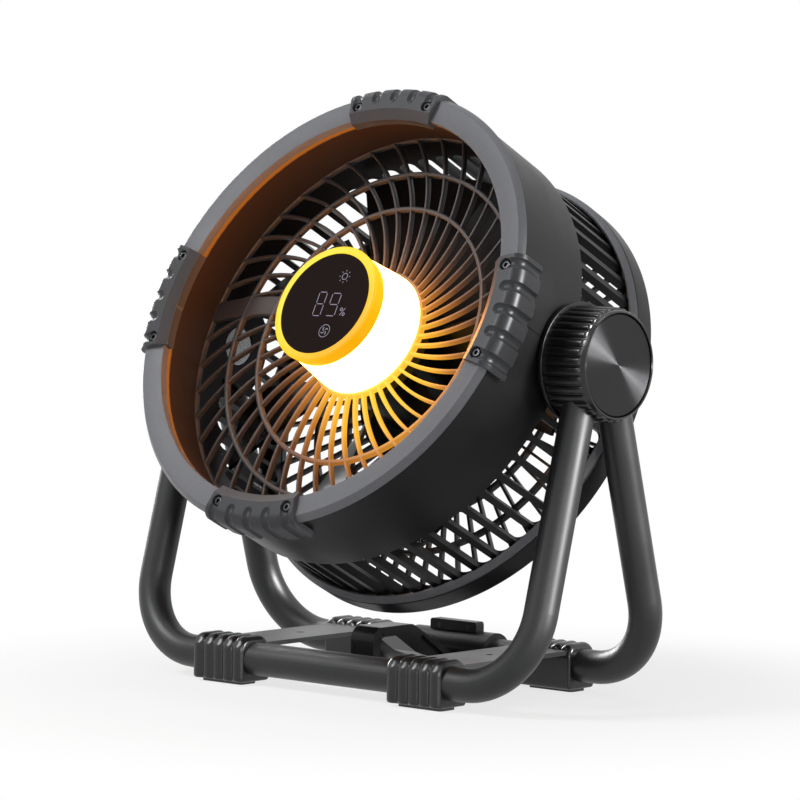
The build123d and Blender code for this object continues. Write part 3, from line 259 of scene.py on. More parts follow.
# ------------------------------------------------------------------ finishes
@dataclass(frozen=True)
class Finish:
    """A finish: a base colour that varies a little, a gloss that varies and a fine relief.

    The relief and the paler flecks are noise of the size of the texture. The gloss varies over
    patches of a few centimetres, as it does where a surface is handled and wiped. Edges that
    stick out take a second, paler colour where the finish has one: rubbed wear on some
    finishes, a painted highlight on others.
    """

    name: str
    slot: str
    colour: str
    roughness: float
    grain_mm: float
    relief_mm: float
    fleck: str = ""
    # colour of edges that jut out: rubbed wear on the bumpers and hook, a painted highlight on the
    # hub ribs and foot ridges
    rubbed_and_highlight: str = ""
    gloss_change: float = 0.05
    patch_mm: float = 38.0
    ior: float = 1.5
    metallic: float = 0.0
    specular: float = 0.2

    def material(self) -> bpy.types.Material:
        """The finish's material, made at its first use and shared after that.

        Returns:
            The material.
        """
        known = bpy.data.materials.get(self.name)
        if known is not None:
            return known
        made = bpy.data.materials.new(self.name)
        tree = empty_tree(made)
        place = add_node(tree, "TexCoord").outputs["Object"]
        shader = add_node(tree, "BsdfPrincipled", self.inputs(tree, place))
        add_node(tree, "OutputMaterial", {"Surface": shader})
        made.diffuse_color = linear(self.colour)
        return made

    def inputs(self, tree: Tree, place: Socket) -> dict[str, object]:
        """What the shader's inputs get: values that hold all over, and nodes for the rest.

        Args:
            tree: The finish's node tree.
            place: The places on the object.

        Returns:
            Values, colours and nodes by the names of the shader's inputs.
        """
        grain = self.grain(tree, place)
        return {
            "Base Color": self.shade(tree, grain),
            "Roughness": self.gloss(tree, place),
            "Metallic": self.metallic,
            "IOR": self.ior,
            "Specular IOR Level": METAL_SPECULAR if self.metallic else self.specular,
            "Normal": self.relief(tree, grain),
        }

    def grain(self, tree: Tree, place: Socket) -> Node:
        """The fine texture: noise of the grain's size."""
        size = 1 / (self.grain_mm * MM)
        return add_node(tree, "TexNoise", {"Vector": place, "Scale": size, "Detail": 3.0})

    def gloss(self, tree: Tree, place: Socket) -> Node:
        """Roughness = its mean plus or minus the change, by soft noise over the patches.

        Args:
            tree: The finish's node tree.
            place: The places on the object.

        Returns:
            The node that gives the roughness.
        """
        soft = {"Scale": 1 / (self.patch_mm * MM), "Detail": 4.0, "Roughness": 0.6}
        spread = {
            "Value": add_node(tree, "TexNoise", {"Vector": place, **soft}),
            "From Min": 0.3,
            "From Max": 0.7,
            "To Min": max(self.roughness - self.gloss_change, 0.02),
            "To Max": min(self.roughness + self.gloss_change, 1.0),
        }
        return add_node(tree, "MapRange", spread)

    def shade(self, tree: Tree, grain: Node) -> object:
        """Colour = the base, paler on the grain's peaks, and the edge colour where the surface
        juts out.

        Args:
            tree: The finish's node tree.
            grain: The node that gives the fine texture.

        Returns:
            A colour, or the node that gives it.
        """
        shade: object = linear(self.colour)
        if self.fleck:
            ramp = add_node(tree, "ValToRGB", {"Fac": grain})
            stops = ((FLECK_START, self.colour), (FLECK_FULL, self.fleck))
            shade = set_stops(ramp, stops)
        # Jutting edges take the second colour: rubbed wear on some finishes, a painted highlight
        # on the hubs' rib tips and the feet's ridge crests.
        if self.rubbed_and_highlight:
            juts = add_node(tree, "NewGeometry").outputs["Pointiness"]
            wear_and_highlight = {
                "Factor": add_node(tree, "MapRange", {"Value": juts, **JUT}),
                MIX_COLOUR_A: shade,
                MIX_COLOUR_B: linear(self.rubbed_and_highlight),
            }
            shade = add_node(tree, "Mix", wear_and_highlight, data_type="RGBA")
        return shade

    def relief(self, tree: Tree, grain: Node) -> Node:
        """Bump height = the grain times the relief's depth."""
        depth = {"Distance": self.relief_mm * MM, "Strength": 1.0}
        return add_node(tree, "Bump", {"Height": grain, **depth})


@dataclass(frozen=True)
class SpunMetal(Finish):
    """Metal turned on a lathe about the hubs' axis: fine rings that stretch each highlight."""

    ring_mm: float = 0.9  # the real rings are finer and are drawn coarse enough to show
    stretch: float = 1.0

    def inputs(self, tree: Tree, place: Socket) -> dict[str, object]:
        """The plain finish, with highlights stretched away from the hubs' axis."""
        spun = {"Tangent": self.arm(tree, place), "Anisotropic": self.stretch}
        return super().inputs(tree, place) | spun

    def arm(self, tree: Tree, place: Socket) -> Node:
        """The way to each place from the hubs' axis, square to the axis.

        Args:
            tree: The finish's node tree.
            place: The places on the object.

        Returns:
            The node that gives the way.
        """
        way = {0: place, 1: tuple(HEAD.pivot)}
        arm = add_node(tree, "VectorMath", way, operation="SUBTRACT")
        return add_node(tree, "VectorMath", {0: arm, 1: (0.0, 1.0, 1.0)}, operation="MULTIPLY")

    def grain(self, tree: Tree, place: Socket) -> Node:
        """The rings: the sine of 2π · radius / ring width.

        Args:
            tree: The finish's node tree.
            place: The places on the object.

        Returns:
            The node that gives the sine.
        """
        radius = add_node(tree, "VectorMath", {0: self.arm(tree, place)}, operation="LENGTH")
        turns = {0: radius, 1: 2 * np.pi / (self.ring_mm * MM)}
        phase = add_node(tree, "Math", turns, operation="MULTIPLY")
        return add_node(tree, "Math", {0: phase}, operation="SINE")


@dataclass(frozen=True)
class LitFinish(Finish):
    """A finish that gives off light: its glow changes with a distance in the head."""

    stops: Stops = ((0.0, "#ffffff"), (1.0, "#ffffff"))
    strength: float = 1.0
    from_mm: float = -44.0
    to_mm: float = 44.0

    def inputs(self, tree: Tree, place: Socket) -> dict[str, object]:
        """The plain finish, with glow colour = ramp of the distance between its two ends.

        Args:
            tree: The finish's node tree.
            place: The places on the object.

        Returns:
            Values, colours and nodes by the names of the shader's inputs.
        """
        ends = {"From Min": self.from_mm * MM, "From Max": self.to_mm * MM}
        share = add_node(tree, "MapRange", {"Value": self.distance(tree, place), **ends})
        ramp = set_stops(add_node(tree, "ValToRGB", {"Fac": share}), self.stops)
        glow = {"Emission Color": ramp, "Emission Strength": self.strength}
        return super().inputs(tree, place) | glow

    def distance(self, tree: Tree, place: Socket) -> Node:
        """The distance on which the glow depends."""
        raise NotImplementedError

    def measure(self, tree: Tree, place: Socket, start: Array, way: Array, product: str) -> Node:
        """The product of the arm from a start to each place with a direction.

        Args:
            tree: The finish's node tree.
            place: The places.
            start: Where the arm starts, in metres.
            way: The direction.
            product: DOT_PRODUCT or CROSS_PRODUCT.

        Returns:
            The node that gives the product.
        """
        arm = add_node(tree, "VectorMath", {0: place, 1: tuple(start)}, operation="SUBTRACT")
        return add_node(tree, "VectorMath", {0: arm, 1: tuple(way)}, operation=product)


@dataclass(frozen=True)
class LitAcrylic(LitFinish):
    """Acrylic lit from behind: its colour runs from one side of the ring to the other."""

    lean: Triple = (0.7, 0.7, 0.0)  # along x, q and a of the head

    def distance(self, tree: Tree, place: Socket) -> Node:
        """Distance from the pivot along the lean: arm · lean.

        Args:
            tree: The finish's node tree.
            place: The places on the object.

        Returns:
            The node that gives the distance, in metres.
        """
        x, q, a = self.lean
        way = x * ACROSS + q * HEAD.up + a * HEAD.forward
        return self.measure(tree, place, HEAD.pivot, way, "DOT_PRODUCT")


@dataclass(frozen=True)
class PaintedLampGlowFinish(LitFinish):
    """A moulding next to the lamp: the lamp's light on it is painted as a glow that fades with the
    radius.
    """

    lean_mm: Point = (0.0, 0.0)  # along x and q, towards the brighter side of the painted glow

    def distance(self, tree: Tree, place: Socket) -> Node:
        """Radius about a line along the fan's axis: |arm × forward|.

        Args:
            tree: The finish's node tree.
            place: The places on the object.

        Returns:
            The node that gives the radius, in metres.
        """
        middle = HEAD.place(*(np.array(v) for v in (*self.lean_mm, 0.0)))
        across = self.measure(tree, place, middle, HEAD.forward, "CROSS_PRODUCT")
        return add_node(tree, "VectorMath", {0: across}, operation="LENGTH")


# Moulded, turned and sprayed textures are 0.05 to 0.4 mm in life, which is finer than shows, so
# their grain_mm is two to ten times as coarse.

# Powder coat baked on steel tube: an orange-peel texture, matt black with a broad soft sheen.
POWDER_COAT = Finish(
    "black_powder_coat", "powder_coated_tube", "#151618", fleck="#232427",
    roughness=0.42, grain_mm=0.8, relief_mm=0.03, specular=0.45,
)
# ABS moulded in a spark-eroded tool: near black, satin, with a smooth broad highlight.
SATIN_ABS = Finish(
    "spark_eroded_charcoal_abs", "charcoal_housing", "#111112", fleck="#171718",
    roughness=0.4, grain_mm=0.8, relief_mm=0.006, specular=0.16,
)
# The same plastic from a polished tool: blacker and glossy, with a painted highlight in pale grey
# on the tips of the hubs' ribs.
POLISHED_ABS = Finish(
    "polished_black_abs", "charcoal_housing", "#0b0b0c", rubbed_and_highlight="#47484b",
    roughness=0.22, grain_mm=1.2, relief_mm=0.004, specular=0.45,
)
# The same plastic from a blasted tool, in the duct: dull, so that the lamp doesn't mirror in it.
# Its glow is painted lamp light: amber at the duct's inner edge, fading to near black outwards.
BLASTED_ABS_PAINTED_GLOW = PaintedLampGlowFinish(
    "blasted_black_abs_painted_lamp_glow", "charcoal_housing", "#100f0f",
    roughness=0.6, grain_mm=0.7, relief_mm=0.02, specular=0.1,
    stops=((0.0, "#a4591a"), (0.035, "#351808"), (0.5, "#241006"), (1.0, "#140904")),
    from_mm=138.8, to_mm=146.5,
)
# The same moulding in mid grey, for the ring round the opening.
BEZEL_ABS = Finish(
    "satin_grey_abs", "bezel_grey", "#67686c", fleck="#6f7075",
    roughness=0.4, grain_mm=0.8, relief_mm=0.006,
)
# The gap where two mouldings meet: no light comes back out of it.
PARTING_SHADE = Finish(
    "shaded_abs_joint", "charcoal_housing", "#040404",
    roughness=0.8, grain_mm=0.8, relief_mm=0.01, specular=0.05,
)
# Grey ABS from a polished tool: a tight sheen along each rib, and the lamp's light painted on as
# an amber glow that fades away from the lamp.
LAMP_GLOW_PAINTED_GRILLE_ABS = PaintedLampGlowFinish(
    "grille_abs_painted_lamp_glow", "grille_grey", "#414143",
    roughness=0.36, grain_mm=1.1, relief_mm=0.008,
    stops=((0.0, "#ffd23a"), (0.36, "#fbb428"), (0.52, "#b06c1c"), (0.68, "#5e3614"),
           (0.82, "#2a180a"), (1.0, "#000000")),
    from_mm=0.0, to_mm=110.0, lean_mm=(26.0, -32.0),
)
# The same plastic away from the lamp: plain grey with the same tight sheen.
GRILLE_ABS = Finish(
    "moulded_grille_abs", "grille_grey", "#414143",
    roughness=0.36, grain_mm=1.1, relief_mm=0.008,
)
# Black ABS from a polished tool: near black blades with a clear gloss along their edges.
BLADE_ABS = Finish(
    "glossier_blade_abs", "blade_black", "#101011",
    roughness=0.3, grain_mm=1.5, relief_mm=0.006,
)
# Moulded rubber: matt grey with rubbed, paler edges.
BUMPER_RUBBER = Finish(
    "moulded_bumper_rubber", "bumper_rubber", "#353639", fleck="#3e3f42", rubbed_and_highlight="#66676b",
    roughness=0.4, grain_mm=0.7, relief_mm=0.02,
)
# Harder moulded rubber: black and glossy, with a painted highlight in paler grey on the ridges'
# crests.
FOOT_RUBBER = Finish(
    "moulded_foot_rubber", "foot_rubber", "#141517", fleck="#1a1b1d", rubbed_and_highlight="#2c2d30",
    roughness=0.3, grain_mm=0.9, relief_mm=0.012, specular=0.5,
)
# Galvanised sheet under a thin sprayed paint: flat light grey with a slight orange peel.
PLATE_PAINT = Finish(
    "sprayed_grey_paint", "plate_grey", "#7d7e80",
    roughness=0.42, grain_mm=1.6, relief_mm=0.015,
)
# Glass-filled nylon: black, harder and a little glossier than the housing.
HOOK_NYLON = Finish(
    "moulded_black_nylon", "hook_black", "#0c0c0e", rubbed_and_highlight="#1f2022",
    roughness=0.3, grain_mm=0.9, relief_mm=0.012,
)
# Steel blackened with hot oxide: dark with a metallic edge glint.
SOCKET_STEEL = Finish(
    "black_oxide_steel", "screw_steel", "#3a3b3d",
    roughness=0.3, grain_mm=0.8, relief_mm=0.005, metallic=1.0,
)
# Bare steel from a lathe: pale grey with a bright, fairly sharp shine.
TURNED_STEEL = Finish(
    "turned_steel", "bright_steel", "#b9babc",
    roughness=0.24, grain_mm=0.8, relief_mm=0.003, metallic=1.0,
)
# Aluminium spun and anodised black: the fine rings draw highlights out into bright wedges.
SPUN_CAP = SpunMetal(
    "spun_black_anodised_aluminium", "spun_black", "#363637",
    roughness=0.25, grain_mm=0.9, relief_mm=0.001, gloss_change=0.015, metallic=1.0,
)
# Opal acrylic with warm light behind it: reads as white, and tints what lies near it amber.
OPAL_ACRYLIC = LitAcrylic(
    "lit_opal_acrylic", "white_diffuser", "#f6f2e6",
    roughness=0.35, grain_mm=2.0, relief_mm=0.003,
    stops=((0.0, "#ff9a44"), (1.0, "#ffa04c")), strength=17.0,
)
# Amber acrylic with light behind it: yellow at the left, orange at the lower right.
AMBER_ACRYLIC = LitAcrylic(
    "lit_amber_acrylic", "glow_ring", "#3a2600",
    roughness=0.3, grain_mm=2.0, relief_mm=0.003,
    stops=((0.0, "#ffe93c"), (0.45, "#ffdf22"), (0.75, "#ffc30e"), (1.0, "#f29a05")),
    lean=(0.62, -0.62, -0.45), from_mm=-75.0, to_mm=13.0,
)
# Polished acrylic with a dark print behind it: a warm black that mirrors only faintly.
POLISHED_PANEL = Finish(
    "polished_black_panel", "display_glass", "#1b0f0d",
    roughness=0.12, grain_mm=3.0, relief_mm=0.0005, gloss_change=0.02, specular=0.05,
)
# Light-emitting segments seen through the panel: thin lines of a dim, cool white.
LIT_MARKS = LitAcrylic(
    "lit_display_marks", "display_glass", "#2a2730",
    roughness=0.4, grain_mm=3.0, relief_mm=0.001,
    stops=((0.0, "#8b8494"), (1.0, "#a09aa9")), strength=0.8,
)
# Etched laminate under solder mask: green, with an even half gloss.
CIRCUIT_BOARD = Finish(
    "green_circuit_board", "board_green", "#1f5a34",
    roughness=0.4, grain_mm=2.5, relief_mm=0.05,
)
# Shrunk vinyl sleeve: green and glossy, with slow waves.
CELL_WRAP = Finish(
    "shrink_wrapped_cell", "cell_wrap", "#2c7a4e",
    roughness=0.25, grain_mm=6.0, relief_mm=0.02,
)
# Wound copper wire under enamel: warm orange, broken into bundles by the turns.
ENAMELLED_COPPER = Finish(
    "enamelled_copper_wire", "copper_coil", "#b5603a",
    roughness=0.35, grain_mm=0.7, relief_mm=0.15, metallic=1.0,
)
# Stacked steel sheets under clear lacquer: flat mid grey with a faint tooth.
LACQUERED_STEEL = Finish(
    "lacquered_lamination_steel", "stator_steel", "#77787b",
    roughness=0.4, grain_mm=0.6, relief_mm=0.05,
)
# Magnets plated with nickel: pale, slightly warm and bright.
NICKEL_PLATE = Finish(
    "nickel_plated_magnet", "magnet_nickel", "#c4c2bb",
    roughness=0.2, grain_mm=2.0, relief_mm=0.005, metallic=1.0,
)
# White ABS from a satin tool: an even off-white behind the lamp.
LAMP_WHITE = Finish(
    "white_moulded_abs", "lamp_white", "#e6e5e0",
    roughness=0.4, grain_mm=1.2, relief_mm=0.01,
)

NODE_FINISHES: dict[Finish, str] = {
    POWDER_COAT: "front_tube rear_tube",
    SATIN_ABS: "upper_housing lower_housing side_cage rear_rim left_pivot_boss right_pivot_boss "
    "rear_hub rear_cover",
    POLISHED_ABS: "left_hub right_hub",
    BLASTED_ABS_PAINTED_GLOW: "duct_ring",
    BEZEL_ABS: "bezel_ring",
    LAMP_GLOW_PAINTED_GRILLE_ABS: "front_grille",
    GRILLE_ABS: "rear_grille",
    BLADE_ABS: "fan_blades motor_mount battery_tray display_carrier friction_washers",
    BUMPER_RUBBER: "right_bumper top_bumper left_bumper bottom_bumper fan_button light_button",
    FOOT_RUBBER: "front_left_foot front_right_foot rear_left_foot rear_right_foot sole_pads",
    PLATE_PAINT: "left_base_plate right_base_plate",
    HOOK_NYLON: "hanging_hook hook_clamp",
    SOCKET_STEEL: "bumper_screws leg_screws hook_screws blade_nut axle_nuts spring_washers",
    TURNED_STEEL: "motor_shaft motor_bearings pivot_axles charge_socket",
    SPUN_CAP: "hub_caps",
    OPAL_ACRYLIC: "lamp_diffuser",
    AMBER_ACRYLIC: "lamp_ring",
    POLISHED_PANEL: "display_glass",
    CIRCUIT_BOARD: "display_board led_board charge_board switch_board",
    CELL_WRAP: "battery_cells",
    ENAMELLED_COPPER: "stator_coils",
    LACQUERED_STEEL: "stator_core rotor_bell",
    NICKEL_PLATE: "rotor_magnets",
    LAMP_WHITE: "lamp_base",
}


def finish_nodes() -> None:
    """Gives every construction node its finish."""
    for finish, names in NODE_FINISHES.items():
        for name in names.split():
            mesh = frame["nodes"][name].data
            mesh.materials.clear()
            mesh.materials.append(finish.material())
        LOG.info("%s on %s", finish.name, names)


# ------------------------------------------------------------------ surfaces
@dataclass
class Shell:
    """Gathers grids of points into the mesh of one piece."""

    name: str
    points: list[Array] = field(default_factory=list)
    faces: list[Array] = field(default_factory=list)
    count: int = 0

    def add(self, grid: Array, wrap_rows: bool = False, wrap_columns: bool = False) -> None:
        """Adds a grid: each face joins a point with the next in its row and in its column.

        Args:
            grid: Points in metres, rows by columns by three.
            wrap_rows: Whether the last row joins the first.
            wrap_columns: Whether the last column joins the first.
        """
        rows, columns = grid.shape[:2]
        i = np.arange(rows if wrap_rows else rows - 1)[:, None] * columns
        j = np.arange(columns if wrap_columns else columns - 1)[None, :]
        next_i = (i + columns) % (rows * columns)
        next_j = (j + 1) % columns
        corners = (i + j, i + next_j, next_i + next_j, next_i + j)
        quads = np.stack(np.broadcast_arrays(*corners), -1).reshape(-1, 4)
        self.points.append(grid.reshape(-1, 3))
        self.faces.append(quads + self.count)
        self.count += rows * columns

    def turn(self, outline: Array, place: Placer, segments: int = 240) -> None:
        """Adds a closed outline of (radius, height) turned about an axis.

        Args:
            outline: The section, which may touch the axis.
            place: Turns radius, angle and height into metres.
            segments: How many steps the full turn has.
        """
        angle = np.arange(segments) / segments * 2 * np.pi
        self.add(place(outline[:, :1], angle[None, :], outline[:, 1:]), True, True)

    def bar(self, grid: Array) -> None:
        """Adds a bar of closed sections, one to a row, with flat ends."""
        ends = [np.broadcast_to(row.mean(0), row.shape)[None] for row in (grid[0], grid[-1])]
        self.add(np.concatenate([ends[0], grid, ends[1]]), wrap_columns=True)

    def piece(
        self, body: str, finish: Finish, replaced: Iterable[str] = (), crease_deg: float = 35.0
    ) -> bpy.types.Object:
        """Makes the piece: welds seams and poles, turns faces outwards and shades it smooth.

        Args:
            body: The body that the piece moves with.
            finish: Its finish.
            replaced: The construction nodes that it stands for.
            crease_deg: Edges sharper than this stay crisp.

        Returns:
            The new object, at the origin.
        """
        mesh = bpy.data.meshes.new(self.name)
        mesh.from_pydata(np.concatenate(self.points), [], np.concatenate(self.faces).tolist())
        work = bmesh.new()
        work.from_mesh(mesh)
        bmesh.ops.remove_doubles(work, verts=work.verts, dist=TINY)
        bmesh.ops.recalc_face_normals(work, faces=work.faces)
        work.to_mesh(mesh)
        work.free()
        mesh.polygons.foreach_set("use_smooth", np.ones(len(mesh.polygons), bool))
        mesh.set_sharp_from_angle(angle=radians(crease_deg))
        mesh.materials.append(finish.material())
        made = put(self.name, mesh)
        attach(made, body)
        if replaced:
            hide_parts(*replaced)
        LOG.info("%s: %d faces", self.name, len(mesh.polygons))
        return made


def rounded(corners: Array, radii: Array | float, steps: int = 4) -> Array:
    """A closed outline with its corners turned into arcs.

    An arc touches both edges at radius / tan(half the corner's angle) from the corner, and its
    middle lies on the corner's bisector, at radius / sin(half the angle).

    Args:
        corners: Corner points, one to a row.
        radii: One radius for all corners or one for each.
        steps: How many steps each arc has.

    Returns:
        The points of the rounded outline.
    """
    radii = np.broadcast_to(np.asarray(radii, float), len(corners))
    before = np.roll(corners, 1, 0) - corners
    after = np.roll(corners, -1, 0) - corners
    before /= np.hypot(*before.T)[:, None]
    after /= np.hypot(*after.T)[:, None]
    half = np.arccos(np.clip((before * after).sum(-1), -1, 1)) / 2
    inward = before + after
    inward /= np.hypot(*inward.T)[:, None]
    middle = corners + inward * (radii / np.sin(half))[:, None]
    reach = (radii / np.tan(half))[:, None]
    start = corners + before * reach - middle
    end = corners + after * reach - middle
    first = np.arctan2(start[:, 1], start[:, 0])
    sweep = np.arctan2(end[:, 1], end[:, 0]) - first
    sweep = (sweep + np.pi) % (2 * np.pi) - np.pi
    angle = first[:, None] + sweep[:, None] * np.linspace(0, 1, steps + 1)
    arc = np.stack([np.cos(angle), np.sin(angle)], -1) * radii[:, None, None]
    return (middle[:, None, :] + arc).reshape(-1, 2)


def outline_normals(outline: Array) -> Array:
    """Unit normals of a closed outline that runs anticlockwise: the tangent turned clockwise.

    Args:
        outline: Its points, one to a row.

    Returns:
        One normal for each point.
    """
    slope = np.roll(outline, -1, 0) - np.roll(outline, 1, 0)
    slope /= np.maximum(np.hypot(*slope.T), TINY)[:, None]
    return np.stack([slope[:, 1], -slope[:, 0]], -1)


def dense(points: Array, step: float) -> Array:
    """The same outline with points no further apart than the step, along straight runs.

    Args:
        points: The outline's points, one to a row.
        step: The largest gap that may stay.

    Returns:
        The old points and the new ones between them.
    """
    runs = []
    for start, end in zip(points[:-1], points[1:]):
        count = max(int(np.ceil(np.hypot(*(end - start)) / step)), 1)
        share = np.arange(count)[:, None] / count
        runs.append(start + share * (end - start))
    return np.concatenate([*runs, points[-1:]])


def round_ends(share: Array, length: float, radius: float) -> Array:
    """Scale along a bar with rounded ends: the square root of 1 − t² within a radius of an end.

    Args:
        share: Places along the bar, from 0 to 1.
        length: The bar's length.
        radius: The radius of its ends.

    Returns:
        The scale at each place.
    """
    gap = np.minimum(share, 1 - share) * length
    t = 1 - np.clip(gap / radius, 0, 1)
    return np.sqrt(np.clip(1 - t * t, 0, 1))


def arc_through(start: Array, middle: Array, end: Array, count: int) -> Array:
    """Points along the circle through three points, from the first to the last.

    The circle's middle is where the bisectors of the two chords cross.

    Args:
        start: First point of the arc.
        middle: A point that the arc passes through.
        end: Last point of the arc.
        count: How many points are wanted.

    Returns:
        The points, one to a row.
    """
    sides = 2 * np.stack([middle - start, end - start])
    sums = np.array([middle @ middle - start @ start, end @ end - start @ start])
    centre = np.linalg.solve(sides, sums)
    first, last = (np.arctan2(*(p - centre)[::-1]) for p in (start, end))
    sweep = (last - first + np.pi) % (2 * np.pi) - np.pi
    angle = first + sweep * np.linspace(0, 1, count)
    radius = np.hypot(*(start - centre))
    return centre + radius * np.stack([np.cos(angle), np.sin(angle)], -1)


def soften(piece: bpy.types.Object, width_mm: float, crisp_deg: float = 40.0) -> None:
    """Rounds a piece's crisp edges by a small bevel of this width.

    Args:
        piece: The piece.
        width_mm: How wide the bevel is.
        crisp_deg: Edges sharper than this get it.
    """
    bevel = piece.modifiers.new("edge_round", "BEVEL")
    bevel.width = width_mm * MM
    bevel.segments = 2
    bevel.limit_method = "ANGLE"
    bevel.angle_limit = radians(crisp_deg)
    bevel.harden_normals = False


# ------------------------------------------------------------------ turned rings
@dataclass(frozen=True)
class TurnedRing:
    """A ring about the fan's axis whose section has softly rounded corners.

    Its node is the construction node that it stands for, or empty where it stands for none.
    """

    name: str
    node: str
    finish: Finish
    corners: tuple[Point, ...]  # (radius, a)
    radii: tuple[float, ...]
    segments: int = 320

    def build(self) -> None:
        """Makes the ring's piece in place of its node."""
        shell = Shell(self.name)
        outline = rounded(np.array(self.corners), np.array(self.radii))
        shell.turn(outline, HEAD.polar, self.segments)
        shell.piece("head", self.finish, (self.node,) if self.node else ())


BEZEL = TurnedRing(
    "bezel_face_ring",
    "bezel_ring",
    BEZEL_ABS,
    ((156.2, 72.0), (152.4, 77.0), (138.0, 75.4), (138.0, 69.5),
     (148.5, 69.5), (148.5, 66.0), (150.5, 66.0), (150.5, 72.0)),
    (0.5, 0.9, 0.5, 0.5, 0.0, 0.3, 0.3, 0.0),
)
REAR_RIM = TurnedRing(
    "rear_rim_ring",
    "rear_rim",
    SATIN_ABS,
    ((150.8, -51.0), (152.2, -49.6), (155.4, -53.4), (156.5, -54.6), (156.5, -69.0),
     (154.5, -71.0), (146.0, -71.0), (146.0, -68.3), (150.8, -68.3)),
    (0.3, 0.4, 0.0, 0.6, 0.8, 0.8, 0.5, 0.5, 0.0),
)
# A painted highlight: a thin shell in the bezel's mid grey over the rear rim's front chamfer,
# where light catches that edge.
REAR_RIM_PAINTED_HIGHLIGHT = TurnedRing(
    "rear_rim_painted_highlight_ring",
    "",
    BEZEL_ABS,
    ((151.6, -50.2), (152.9, -48.8), (156.4, -53.0), (155.9, -54.1), (154.8, -54.0)),
    (0.1, 0.5, 0.3, 0.1, 0.1),
)
GLOW_RING = TurnedRing(
    "lamp_glow_ring",
    "lamp_ring",
    AMBER_ACRYLIC,
    ((36.0, 66.6), (40.2, 66.6), (41.4, 76.2), (40.2, 77.4), (36.0, 77.4)),
    (0.0, 0.3, 0.9, 0.9, 0.2),
    160,
)
DIFFUSER = TurnedRing(
    "lamp_diffuser_cup",
    "lamp_diffuser",
    OPAL_ACRYLIC,
    ((43.6, 32.1), (43.4, 37.0), (40.3, 66.5), (38.2, 66.5),
     (41.0, 38.0), (41.0, 36.3), (43.1, 36.3), (43.1, 32.1)),
    (0.1, 2.0, 0.4, 0.2, 0.2, 0.0, 0.0, 0.1),
    160,
)


# ------------------------------------------------------------------ grilles
@dataclass(frozen=True)
class RibGrille:
    """A flat moulded grille: curved or straight ribs, rings, a rim and a middle.

    Every bar has a rounded front edge, so its section is a bar with two large corner radii
    towards the viewer and two small ones behind.
    """

    name: str
    node: str
    finish: Finish
    back_a: float
    depth: float
    facing: int  # 1 where the rounded edges face forwards, -1 where they face the rear
    rib_count: int
    rib_width: float
    rib_line: tuple[Point, ...]  # (radius, degrees) of the rib's points
    rings: tuple[float, ...]
    ring_width: float
    middle_r: float
    bore_r: float  # zero where the middle is closed
    rim_r: float
    rim_inner_r: float
    channel: tuple[Point, ...] = ()  # the bar that hides the lamp's wires
    channel_width: float = 14.0
    rib_drop: float = 0.06  # the ribs and the channel stay below the rings, so that no two
    channel_drop: float = 0.12  # faces lie in one plane
    round_r: float = 0.95
    back_r: float = 0.25
    top_flat: float = 0.05
    segments: int = 240

    def build(self) -> None:
        """Makes the grille's piece in place of its node."""
        shell = Shell(self.name)
        line = self.path(self.rib_line)
        step = 2 * np.pi / self.rib_count
        for rib in range(self.rib_count):
            shell.bar(self.bar(line, self.rib_width, rib * step, self.rib_drop))
        for ring_r in self.rings:
            self.add_ring(shell, ring_r - self.ring_width / 2, ring_r + self.ring_width / 2)
        self.add_ring(shell, self.rim_inner_r, self.rim_r)
        self.add_ring(shell, self.bore_r, self.middle_r)
        if self.channel:
            channel = self.path(self.channel)
            shell.bar(self.bar(channel, self.channel_width, 0.0, self.channel_drop))
        shell.piece("head", self.finish, (self.node,))

    def path(self, points: tuple[Point, ...], arc_count: int = 22, run_count: int = 6) -> Array:
        """The middle line of a bar: an arc through three points, or a straight run.

        Args:
            points: Radius and angle in degrees of its two or three points.
            arc_count: How many points an arc gets.
            run_count: How many points a straight run gets.

        Returns:
            The line's points as (x, q).
        """
        radius, turn = np.array(points).T
        flat = np.stack([radius * np.cos(np.radians(turn)), radius * np.sin(np.radians(turn))], -1)
        if len(flat) == 3:
            return arc_through(*flat, arc_count)
        return np.linspace(flat[0], flat[-1], run_count)

    def bar(self, line: Array, width: float, turn: float, drop: float) -> Array:
        """Sections of a bar along a line turned about the axis: point = line + u·normal, a = v.

        Args:
            line: The bar's middle line as (x, q).
            width: Its width.
            turn: The angle in radians by which it is turned about the axis.
            drop: How far its rounded side lies below the grille's.

        Returns:
            Points in metres, one section to a row.
        """
        half, depth = width / 2, self.depth - drop
        front = min(self.round_r, half - self.top_flat)
        corners = np.array([(-half, 0.0), (half, 0.0), (half, depth), (-half, depth)])
        section = rounded(corners, np.array([self.back_r, self.back_r, front, front]))
        slope = np.gradient(line, axis=0)
        slope /= np.hypot(*slope.T)[:, None]
        normal = np.stack([-slope[:, 1], slope[:, 0]], -1)
        flat = line[:, None, :] + section[None, :, :1] * normal[:, None, :]
        x = flat[..., 0] * np.cos(turn) - flat[..., 1] * np.sin(turn)
        q = flat[..., 0] * np.sin(turn) + flat[..., 1] * np.cos(turn)
        return HEAD.place(x, q, self.along(section[None, :, 1]))

    def add_ring(self, shell: Shell, inner: float, outer: float) -> None:
        """A ring with a rounded front edge, or a disc where its inner radius is zero.

        Args:
            shell: The grille's shell.
            inner: The ring's inner radius.
            outer: Its outer radius.
        """
        corners = np.array([(inner, 0.0), (outer, 0.0), (outer, self.depth), (inner, self.depth)])
        hollow = inner > 0
        radii = (self.back_r * hollow, self.back_r, self.round_r, self.round_r * hollow)
        outline = rounded(corners, np.array(radii))
        outline[:, 1] = self.along(outline[:, 1])
        shell.turn(outline, HEAD.polar, self.segments)

    def along(self, height: Array) -> Array:
        """Place on the fan's axis of a height above the grille's plain side."""
        start = self.back_a if self.facing > 0 else self.back_a + self.depth
        return start + self.facing * height


